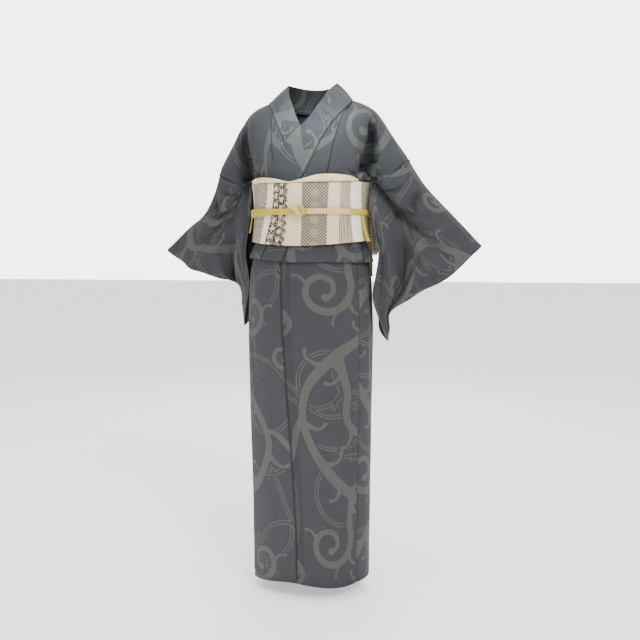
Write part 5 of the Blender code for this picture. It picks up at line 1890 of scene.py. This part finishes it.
        # across from the body, down the cloth; negative lengths lie on the back layer
        folds = (
            Crease((0.128, 0.026), (0.168, 0.104), 0.0150, 0.0080, 0.006, 0.25),
            Crease((0.105, 0.040), (0.060, 0.150), 0.0070, 0.010, -0.008),
            Crease((0.215, 0.040), (0.130, 0.230), 0.0062, 0.013, 0.014),
            Crease((0.270, 0.020), (0.230, 0.220), 0.0050, 0.014, -0.012),
            Crease((0.040, 0.150), (0.190, 0.110), 0.0066, 0.009, 0.008),
            Crease((0.230, 0.200), (0.210, 0.430), 0.0056, 0.014, 0.012),
            Crease((0.290, 0.160), (0.265, 0.420), 0.0040, 0.016, -0.008),
            Crease((0.110, 0.330), (0.130, 0.440), 0.0060, 0.008, 0.004),
            Crease((0.020, 0.210), (0.050, 0.430), 0.0040, 0.008, 0.004),
            Crease((0.170, 0.300), (0.185, 0.460), 0.0046, 0.010, -0.006),
            Crease((0.140, -0.030), (0.170, -0.150), 0.0046, 0.011, 0.008),
            Crease((0.080, -0.050), (0.050, -0.220), 0.0040, 0.012, -0.010),
            Crease((0.240, -0.030), (0.200, -0.270), 0.0034, 0.015, 0.012),
            Crease((0.110, -0.200), (0.160, -0.420), 0.0036, 0.014, -0.010),
            Crease((0.260, -0.220), (0.240, -0.440), 0.0028, 0.015, 0.008),
            Crease((0.040, -0.260), (0.060, -0.450), 0.0026, 0.010, 0.006),
        )
        if self.side is Side.RIGHT:
            folds = tuple(
                Crease(
                    (0.93 * f.start[0], f.start[1] + 0.012), (1.05 * f.end[0], f.end[1] - 0.010),
                    (0.80 + 0.35 * math.sin(7.0 * i)) * f.depth, 1.08 * f.width, 0.8 * f.bend,
                ) for i, f in enumerate(folds)
            )
        node = "sleeve_" + self.side.value
        middle = tuple(grid.reshape(-1, 3).mean(axis=0))
        Cloth(
            node + "_cloth", node, grid, np.array(places), middle, closed=True, creases=folds,
            free="left right", origin=self.origins[self.side], spacing=0.0044,
        ).build(cloth, "kimono_cloth", self.flats[self.side], Hold.HUNG)


@dataclass
class Roll:
    """A solid run of equal rings, such as a scarf roll, a cord or a folded end of sash."""

    name: str
    node: str
    rings: Array
    spots: Array
    looped: bool = False

    def build(self, material: bpy.types.Material, slot: str) -> bpy.types.Object:
        """Make the solid and dress it.

        Args:
            material: Its finish.
            slot: Not used.

        Returns:
            The finished piece.
        """
        rows, columns = self.rings.shape[:2]
        index = np.arange(rows * columns).reshape(rows, columns)
        index = np.concatenate([index, index[:, :1]], axis=1)
        if self.looped:
            index = np.concatenate([index, index[:1]])
        faces = [cells(index)]
        if not self.looped:
            half = columns // 2
            for ring, turn in ((index[0, :-1], 1), (index[-1, :-1], -1)):
                back = ring[::-1]
                cap = np.stack([ring[: half - 1], ring[1:half], back[1:half], back[: half - 1]], axis=-1)
                faces.append(cap[:, ::-turn])
        faces = np.concatenate(faces)
        points = self.rings.reshape(-1, 3)
        corners = points[faces]
        turned = np.cross(corners[:, 1], corners[:, 2]) + np.cross(corners[:, 2], corners[:, 3])
        if np.sum(corners[:, 0] * turned) < 0:
            faces = faces[:, ::-1]
        piece = make_piece(self.name, points, faces, self.spots.reshape(-1, 2), material)
        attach(piece, "root")
        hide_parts(self.node)
        LOG.info("%s: %d faces", self.name, len(faces))
        return piece


def circle(count: int) -> Array:
    """Equal steps of angle all the way round."""
    return 2 * math.pi * np.arange(count) / count


def oval(
    centre: Array, wide: float, tall: float, count: int, away: Array, up: Array, square: float = 1.0,
) -> Array:
    """Ring of points on an oval or a rounded oblong.

    Args:
        centre: Middle of the ring.
        wide: Half size along away.
        tall: Half size along up.
        count: Number of points.
        away: First direction.
        up: Second direction.
        square: 1 for an oval, less for squarer corners.

    Returns:
        The ring's points.
    """
    angle = circle(count)
    c, s = np.cos(angle), np.sin(angle)
    c = np.sign(c) * np.abs(c) ** square
    s = np.sign(s) * np.abs(s) ** square
    return centre + np.outer(c * wide, away) + np.outer(s * tall, up)


def outward(angle: float) -> Array:
    """Level direction away from the figure at an angle round it."""
    return np.array([math.sin(angle), -math.cos(angle), 0.0])


@dataclass
class Sash:
    """Two turns of the sash, the drum bow behind, its tail and its hand end."""

    first_offset: float = 0.0106
    step: float = 0.0037
    wall: float = 0.0026
    bow_half: float = 0.152
    bow_curve: float = 0.35
    band_level: float = -0.245
    band_drop: float = 0.10
    # place along the sash, how far a band moves along over that drop
    slant: tuple = (
        (-0.126, -0.0225), (-0.089, -0.0215), (-0.068, -0.0135), (-0.024, -0.007), (0.0116, -0.0026),
        (0.078, -0.0055), (0.107, -0.0035), (0.138, 0.0025), (0.175, 0.0085),
    )
    # depth and height down the drum, then down the tail
    drum: tuple = (
        (0.1154, -0.238), (0.1185, -0.205), (0.1270, -0.172), (0.1400, -0.1508), (0.1580, -0.1462),
        (0.1740, -0.158), (0.1830, -0.185), (0.1880, -0.235), (0.1890, -0.300), (0.1850, -0.360),
        (0.1800, -0.390), (0.1700, -0.401), (0.1600, -0.396), (0.1550, -0.375), (0.1530, -0.330),
        (0.1520, -0.285),
    )
    tail: tuple = (
        (0.1150, -0.320), (0.1235, -0.345), (0.1340, -0.372), (0.1400, -0.405), (0.1430, -0.462),
    )
    hand_half: float = 0.180
    hand_low: float = -0.362
    hand_high: float = -0.306
    hand_depth: float = 0.1583
    hand_thickness: float = 0.005
    turn_steps: int = 88
    columns: int = 9

    @property
    def outside(self) -> float:
        """How far the outer turn stands off the figure."""
        return self.first_offset + 2 * self.step

    def edges(self, angle: float) -> tuple[float, float]:
        """Top and lower edge of the sash at an angle round the figure."""
        side = math.sin(angle) ** 2 if math.cos(angle) > 0 else 1.0
        return float(mix(-0.223, -0.215, side)), float(mix(-0.379, -0.365, side))

    def _turns(self, cloth: bpy.types.Material) -> None:
        """Make the two turns round the waist, which end at the centre back.

        Args:
            cloth: Finish of the sash.
        """
        lines = []
        levels = []
        for i in range(2 * self.turn_steps + 1):
            angle = 2 * math.pi * i / self.turn_steps
            folded = angle % (2 * math.pi) - math.pi
            top, low = self.edges(folded)
            level = np.linspace(low, top, self.columns)
            offset = self.first_offset + self.step * i / self.turn_steps
            lines.append(FIGURE.place(np.full(self.columns, folded), level, offset))
            levels.append(level)
        grid = np.array(lines)
        reach = walked(grid[:, self.columns // 2])
        front = self.turn_steps + self.turn_steps // 2
        places = np.stack(np.broadcast_arrays((reach - reach[front])[:, None], np.array(levels)), axis=-1)
        lower = (self.band_level - places[..., 1]) / self.band_drop
        places[..., 0] -= lower * smooth(self.slant, places[..., 0])[..., 0]
        creases = []
        for start, end, depth in ((-0.19, -0.06, 0.0011), (-0.10, 0.05, 0.0009), (0.02, 0.20, 0.0012)):
            above = (start, -0.262 + 2 * depth), (end, -0.268 - 3 * depth)
            below = (start + 0.03, -0.322), (end - 0.02, -0.330 + depth)
            creases.append(Crease(*above, depth, 0.007, 0.002))
            creases.append(Crease(*below, 0.8 * depth, 0.008, -0.002))
        Cloth(
            "obi_turns_cloth", "obi_turns", grid, places, (0.0, 0.0, -0.3), wall=self.wall,
            creases=tuple(creases), free="left right", spacing=0.0050, rest=0.0005,
        ).build(cloth, "sash_cloth", (0.150, 1.78), Hold.STRETCHED)

    def _bow(self, cloth: bpy.types.Material) -> None:
        """Make the drum and the tail below it.

        Args:
            cloth: Finish of the sash.
        """
        plans = (
            ("obi_drum", self.drum, self.bow_half, (0.304, 0.60), (
                Crease((-0.140, 0.140), (-0.080, 0.170), 0.0030, 0.010, 0.004),
                Crease((0.145, 0.135), (0.085, 0.175), 0.0028, 0.010, -0.004),
                Crease((-0.120, 0.300), (0.020, 0.312), 0.0018, 0.010, 0.004),
                Crease((0.010, 0.245), (0.130, 0.238), 0.0016, 0.012, -0.003),
            )),
            ("obi_tail", self.tail, 0.143, (0.300, 0.150), (
                Crease((-0.120, 0.060), (-0.050, 0.130), 0.0016, 0.012, 0.004),
            )),
        )
        for node, profile_rows, half, flat, creases in plans:
            out = np.linspace(-half, half, 25)
            grid = np.array([point(out, depth - self.bow_curve * out**2, z) for depth, z in profile_rows])
            Cloth(
                node + "_cloth", node, grid, measured(grid, out), (0.0, 0.165, -0.28), wall=self.wall,
                creases=creases, free="left right", origin=(0.06, 0.0),
            ).build(cloth, "sash_cloth", flat, Hold.FOLDED)

    def _hand(self, cloth: bpy.types.Material) -> None:
        """Make the folded hand end that passes through the drum.

        Args:
            cloth: Finish of the sash.
        """
        count = 32
        thick, tall = self.hand_thickness / 2, (self.hand_high - self.hand_low) / 2
        rings = []
        spots = []
        for out in np.linspace(-self.hand_half, self.hand_half, 91):
            depth = self.hand_depth + thick - self.bow_curve * out**2
            centre = np.array([out, depth, (self.hand_low + self.hand_high) / 2])
            ring = oval(centre, thick, tall, count, BACKWARD, UP, 0.45)
            rings.append(ring)
            spots.append(np.stack([np.full(count, out + 0.21), ring[:, 2]], axis=-1))
        hand = Roll("obi_hand_cloth", "obi_hand", np.array(rings), np.array(spots))
        piece = hand.build(cloth, "sash_cloth")

    def build(self, cloth: bpy.types.Material) -> None:
        """Make the turns, the bow and the hand end.

        Args:
            cloth: Finish of the sash.
        """
        self._turns(cloth)
        self._bow(cloth)
        self._hand(cloth)


SASH = Sash()


@dataclass
class Scarf:
    """The sash scarf: its swells above the front of the sash and its cover on the bow pad."""

    # girth place, height of the swell, depth of the swell
    swell: tuple = (
        (-0.155, 0.003, 0.006), (-0.140, 0.010, 0.012), (-0.100, 0.015, 0.016), (-0.055, 0.011, 0.014),
        (-0.020, 0.004, 0.010), (0.010, 0.010, 0.012), (0.045, 0.019, 0.018), (0.085, 0.019, 0.018),
        (0.125, 0.014, 0.015), (0.155, 0.004, 0.006),
    )
    count: int = 36
    sash_gap: float = 0.0098
    pad_half: float = 0.140
    pad_depth: float = 0.1535
    pad_level: float = -0.1578
    pad_edge: float = 0.006

    def _wrinkled(self, rings: Array, along: Array, size: float) -> Array:
        """Gather the roll in long shallow wrinkles that run with it.

        Args:
            rings: The roll's rings.
            along: Place of each ring along the roll.
            size: Depth of the wrinkles as a share of the roll's size.

        Returns:
            The wrinkled rings.
        """
        centre = rings.mean(axis=1, keepdims=True)
        turn = circle(self.count)
        reach = along[:, None]
        wave = np.sin(3 * turn + 17 * reach) + 0.7 * np.sin(5 * turn - 26 * reach + 1.0)
        fold = bell(np.sin(2 * turn - 9 * reach + 0.6), 0.0, 0.22)
        return centre + (rings - centre) * (1 - size * (1 + wave + 1.6 * fold)[..., None])

    def build(self, crepe: bpy.types.Material) -> None:
        """Make the front swells and the cover of the pad.

        Args:
            crepe: The scarf's finish.
        """
        along = np.linspace(-0.150, 0.150, 121)
        rings = []
        for place in along:
            tall, deep = entry(self.swell, place)
            angle = float(FIGURE.angle(place, -0.21))
            away = outward(angle)
            base = FIGURE.place(angle, SASH.edges(angle)[0], self.sash_gap)
            centre = base + away * (deep / 2) + UP * (tall / 2 + 0.0006)
            rings.append(oval(centre, deep / 2, tall / 2, self.count, away, UP))
        self._roll("obiage_front", np.array(rings), along, 0.085, crepe)
        along = np.linspace(-0.135, 0.135, 91)
        rings = []
        for out in along:
            swell = math.sqrt(max(1 - (out / self.pad_half) ** 2, 0.0))
            deep, tall = self.pad_edge + 0.013 * swell, self.pad_edge + 0.015 * swell
            centre = np.array([out, self.pad_depth - SASH.bow_curve * out**2, self.pad_level - 0.015 * swell])
            rings.append(oval(centre, deep, tall, self.count, BACKWARD, UP))
        self._roll("obiage_pad", np.array(rings), along, 0.045, crepe)

    def _roll(
        self, node: str, rings: Array, along: Array, size: float, crepe: bpy.types.Material,
    ) -> None:
        """Make one wrinkled roll.

        Args:
            node: The solid that it dresses.
            rings: Its rings, before they are wrinkled.
            along: Place of each ring along the roll.
            size: Depth of the wrinkles as a share of the roll's size.
            crepe: The scarf's finish.
        """
        turn = np.arange(self.count) / self.count * 0.08
        spots = np.stack(np.broadcast_arrays(along[:, None], turn), axis=-1)
        roll = Roll(node + "_crepe", node, self._wrinkled(rings, along, size), spots)
        piece = roll.build(crepe, "scarf_cloth")


@dataclass
class Cord:
    """The flat braided cord round the sash, its knot and its tucked ends."""

    half_width: float = 0.0075
    thickness: float = 0.0048
    level: float = -0.293
    count: int = 20
    # name, ends across and up, depth before the cord, rise, half width, half thickness, braid place
    strands: tuple = (
        ("under", ((-0.014, -0.004), (0.018, 0.004)), 0.0042, 0.0016, 0.0100, 0.0040, -0.08),
        ("over", ((-0.013, 0.011), (0.011, -0.011)), 0.0070, 0.0038, 0.0056, 0.0030, 0.05),
        ("loop", ((0.012, 0.013), (0.017, -0.011)), 0.0062, 0.0048, 0.0062, 0.0032, -0.08),
    )

    knot_count: int = 28
    gap: float = 0.0004
    step: float = 0.0006
    bow_face: float = 0.1893
    # name, degrees round the figure, length, half width, drift away from the sash
    ends: tuple = (
        ("obijime_end_left", 70.0, 0.066, 0.0080, 0.012),
        ("obijime_end_right", -70.0, 0.042, 0.0050, 0.004),
    )
    end_thickness: float = 0.0036

    def _half_path(self) -> list:
        """Middle of the cord from the front centre round the left side to the middle of the bow's face."""
        clear = self.gap + self.thickness / 2
        half = SASH.bow_half
        path = []
        for degrees in range(0, 97, 8):
            path.append(FIGURE.place(math.radians(degrees), self.level, SASH.outside + clear))
        side = path[-1][0]
        for depth in (0.060, 0.105, 0.150):
            path.append(np.array([mix(side, half + 0.006, depth / 0.150), depth, self.level]))
        corner = self.bow_face - SASH.bow_curve * half**2
        path.append(np.array([half + 0.0050, corner - 0.004, self.level]))
        path.append(np.array([half + 0.0036, corner + 0.003, self.level]))
        for out in np.linspace(half - 0.004, 0.0, 5):
            depth = self.bow_face - SASH.bow_curve * out**2 + clear + self.step
            path.append(np.array([out, depth, self.level]))
        return path

    def _path(self) -> Array:
        """Middle of the cord, round the sash in front and over the bow's face behind."""
        left = self._half_path()
        mirror = np.array([-1.0, 1.0, 1.0])
        front = [place * mirror for place in left[12:0:-1]]
        behind = [place * mirror for place in left[-2:12:-1]]
        return np.array(front + left + behind)

    def _rings(self, path: Array, wide: Array) -> Array:
        """Set rings of flat braid round a closed path.

        Args:
            path: The braid's middle.
            wide: Half width at each of its points.

        Returns:
            The rings.
        """
        rings = []
        for place, way, half in zip(path, onward(path, True), wide):
            away = np.cross(way, UP)
            away /= np.linalg.norm(away)
            tall = np.cross(away, way)
            tall /= np.linalg.norm(tall)
            rings.append(oval(place, self.thickness / 2, half, self.count, away, tall, 0.6))
        return np.array(rings)

    def _spots(self, wide: Array, along: Array, count: int) -> Array:
        """Places on the braid of rings of points, from their half widths and their places along it."""
        across = np.multiply.outer(wide, np.sin(circle(count)))
        return np.stack(np.broadcast_arrays(across, along[:, None]), axis=-1)

    def _knot(self, braid: bpy.types.Material) -> None:
        """Make the knot: one strand under, one slanting over it and one standing loop beside them.

        Args:
            braid: The cord's finish.
        """
        face = FIGURE.place(0.0, self.level, SASH.outside)[1] - self.thickness - self.gap
        share = np.linspace(0.0, 1.0, 45)
        bow = np.sin(math.pi * share)
        full = np.sqrt(np.clip(1 - np.abs(2 * share - 1) ** 6, 0.02, 1.0))
        for name, ends, depth, rise, wide, thick, along in self.strands:
            start, end = np.array(ends)
            way = (end - start) / np.linalg.norm(end - start)
            flat = mix(start, end, share[:, None]) + np.outer(0.0022 * bow, [-way[1], way[0]])
            line = point(flat[:, 0], face - depth - rise * bow, self.level + flat[:, 1])
            beside = np.array([-way[1], 0.0, way[0]])
            rings = np.array([
                oval(place, thick * e, wide * (0.55 + 0.45 * e), self.knot_count, -BACKWARD, beside, 0.75)
                for place, e in zip(line, full)
            ])
            spots = self._spots(np.full(len(line), wide), along + 0.03 * share, self.knot_count)
            Roll("obijime_knot_" + name, "obijime_knot", rings, spots).build(braid, "cord_braid")

    def build(self, braid: bpy.types.Material) -> None:
        """Make the cord, the knot and the ends.

        Args:
            braid: The cord's finish.
        """
        coarse = self._path()
        ring = np.concatenate([coarse[-3:], coarse, coarse[:3]])[:, None]
        keys = travel(ring)
        inside = keys[3 : 4 + len(coarse)]
        path = between(ring, keys, stops(inside, 0.004)[:-1])[:, 0]
        reach = walked(path)
        reach = reach - reach[np.argmin(path[:, 1])]
        wide = self.half_width * (1 + 0.45 * ease((-reach - 0.060) / 0.060) * ease((0.26 + reach) / 0.08))
        rings, spots = self._rings(path, wide), self._spots(wide, reach, self.count)
        Roll("obijime_braid", "obijime", rings, spots, looped=True).build(braid, "cord_braid")
        self._knot(braid)
        share = np.linspace(0.0, 1.0, 40)
        for node, degrees, length, half, drift in self.ends:
            angle = math.radians(degrees)
            away = outward(angle)
            level = self.level - self.half_width - self.step - length * share
            line = FIGURE.place(np.full(40, angle), level, SASH.outside + 0.0030)
            line = line + away * (drift * share**1.5)[:, None]
            beside = np.array([math.cos(angle), math.sin(angle), 0.0])
            wide = half * (0.75 + 0.35 * share)
            rings = np.array([
                oval(place, self.end_thickness / 2, w, self.count, away, beside, 0.6)
                for place, w in zip(line, wide)
            ])
            spots = self._spots(wide, walked(line) + 0.3, self.count)
            Roll(node + "_braid", node, rings, spots).build(braid, "cord_braid")


@dataclass(frozen=True)
class Lamp:
    """A soft square light, itself out of sight."""

    name: str
    place: tuple
    aim: tuple
    size: float
    watts: float
    spread: float = 180.0
    tint: Colour = WHITE

    def build(self) -> None:
        """Add the light."""
        data = bpy.data.lights.new(self.name, "AREA")
        data.shape = "SQUARE"
        data.size = self.size
        data.energy = self.watts
        data.color = self.tint
        data.spread = math.radians(self.spread)
        light = bpy.data.objects.new(self.name, data)
        light.location = self.place
        light.visible_camera = False
        light.rotation_euler = (Vector(self.aim) - Vector(self.place)).to_track_quat("-Z", "Y").to_euler()
        bpy.context.scene.collection.objects.link(light)


@dataclass
class Studio:
    """Camera, soft lights, pale floor and pale surroundings."""

    position: tuple = (0.54352, -2.02844, -0.415)
    focal_px: float = 780.0
    frame_px: float = 640.0
    pitch_px: float = 60.0
    turn_px: float = 9.0
    floor_level: float = -1.305
    ambient: float = 0.20
    overhead: float = 1.9
    backdrop: float = 5.0
    floor_glow: float = 0.55
    floor_half: float = 30.0
    around: float = 15.0
    lamps: tuple = (
        Lamp("key", (2.0, -2.5, 1.9), (0.0, 0.0, -0.4), 1.1, 112.0),
        Lamp("chest", (-0.04, -1.4, 0.7), (0.05, 0.0, -0.10), 0.22, 0.62, 13.0, (0.84, 0.94, 1.0)),
        Lamp("fill", (-2.2, -2.3, -0.9), (0.0, 0.0, -1.0), 0.8, 1.2, 22.0),
        Lamp("top", (0.0, -0.3, 2.6), (0.0, 0.0, -0.2), 1.6, 30.0),
        Lamp("back", (-0.8, 2.8, 1.4), (0.0, 0.0, -0.4), 2.0, 60.0),
    )

    def _camera(self) -> None:
        """Place the camera at the photograph's angle."""
        data = bpy.data.cameras.new("view")
        data.sensor_width = 36.0
        data.lens = self.focal_px / self.frame_px * 36.0
        data.clip_end = 60.0
        camera = bpy.data.objects.new("view", data)
        around = math.radians(self.around)
        pitch = math.atan(self.pitch_px / self.focal_px)
        turn = math.atan(self.turn_px / self.focal_px)
        level = Vector((-math.sin(around), math.cos(around), 0.0))
        right = Vector((math.cos(around), math.sin(around), 0.0))
        ahead = level * math.cos(turn) + right * math.sin(turn)
        right = right * math.cos(turn) - level * math.sin(turn)
        ahead = ahead * math.cos(pitch) + Vector((0.0, 0.0, -1.0)) * math.sin(pitch)
        up = right.cross(ahead)
        turned = Matrix((right, up, -ahead)).transposed().to_4x4()
        camera.matrix_world = Matrix.Translation(Vector(self.position)) @ turned
        bpy.context.scene.collection.objects.link(camera)
        bpy.context.scene.camera = camera

    def _surroundings(self) -> None:
        """Light from all round, stronger from above, with a white backdrop for the camera alone."""
        world = bpy.data.worlds.new("surroundings")
        world.use_nodes = True
        nodes, links = world.node_tree.nodes, world.node_tree.links
        way = nodes.new("ShaderNodeTexCoord")
        split = nodes.new("ShaderNodeSeparateXYZ")
        sky = nodes.new("ShaderNodeMapRange")
        rays = nodes.new("ShaderNodeLightPath")
        seen = nodes.new("ShaderNodeMapRange")
        sky.inputs["To Min"].default_value = self.ambient
        sky.inputs["To Max"].default_value = self.overhead
        seen.inputs["To Max"].default_value = self.backdrop
        links.new(way.outputs["Generated"], split.inputs[0])
        links.new(split.outputs["Z"], sky.inputs["Value"])
        links.new(sky.outputs[0], seen.inputs["To Min"])
        links.new(rays.outputs["Is Camera Ray"], seen.inputs["Value"])
        links.new(seen.outputs[0], nodes["Background"].inputs["Strength"])
        nodes["Background"].inputs["Color"].default_value = (1.0, 1.0, 1.0, 1.0)
        bpy.context.scene.world = world

    def _floor(self) -> None:
        """Lay the pale floor."""
        wires = Wires("floor_paint", 0.9, 0.0, 0.1)
        cloud = wires.noise(2.0, 2.0)
        colour = wires.blend(cloud, (0.93, 0.93, 0.93), (0.95, 0.95, 0.95))
        paint = wires.finish(colour, cloud, 0.0005, cloud * 0.05 + 0.85)
        wires.shader.inputs["Emission Color"].default_value = (1.0, 1.0, 1.0, 1.0)
        wires.shader.inputs["Emission Strength"].default_value = self.floor_glow
        corners = self.floor_half * np.array([(-1.0, -1.0), (1.0, -1.0), (1.0, 1.0), (-1.0, 1.0)])
        points = np.column_stack([corners, np.full(4, self.floor_level)])
        floor = make_piece("floor", points, np.array([[0, 1, 2, 3]]), corners, paint)

    def build(self) -> None:
        """Set up the studio."""
        self._camera()
        for lamp in self.lamps:
            lamp.build()
        self._surroundings()
        self._floor()


def main() -> None:
    """Build the kimono and its studio, and report each piece."""
    Studio().build()
    cloth = ScrollCloth().material()
    sash = SashCloth().material()
    crepe = ScarfCrepe().material()
    braid = CordBraid().material()
    Skirt().build(cloth)
    for side in Side:
        Upper(side).build(cloth)
        OkumiUpper(side).build(cloth)
        Sleeve(side).build(cloth)
    Collar().build(cloth)
    SASH.build(sash)
    Scarf().build(crepe)
    Cord().build(braid)


if __name__ == "__main__":
    main()
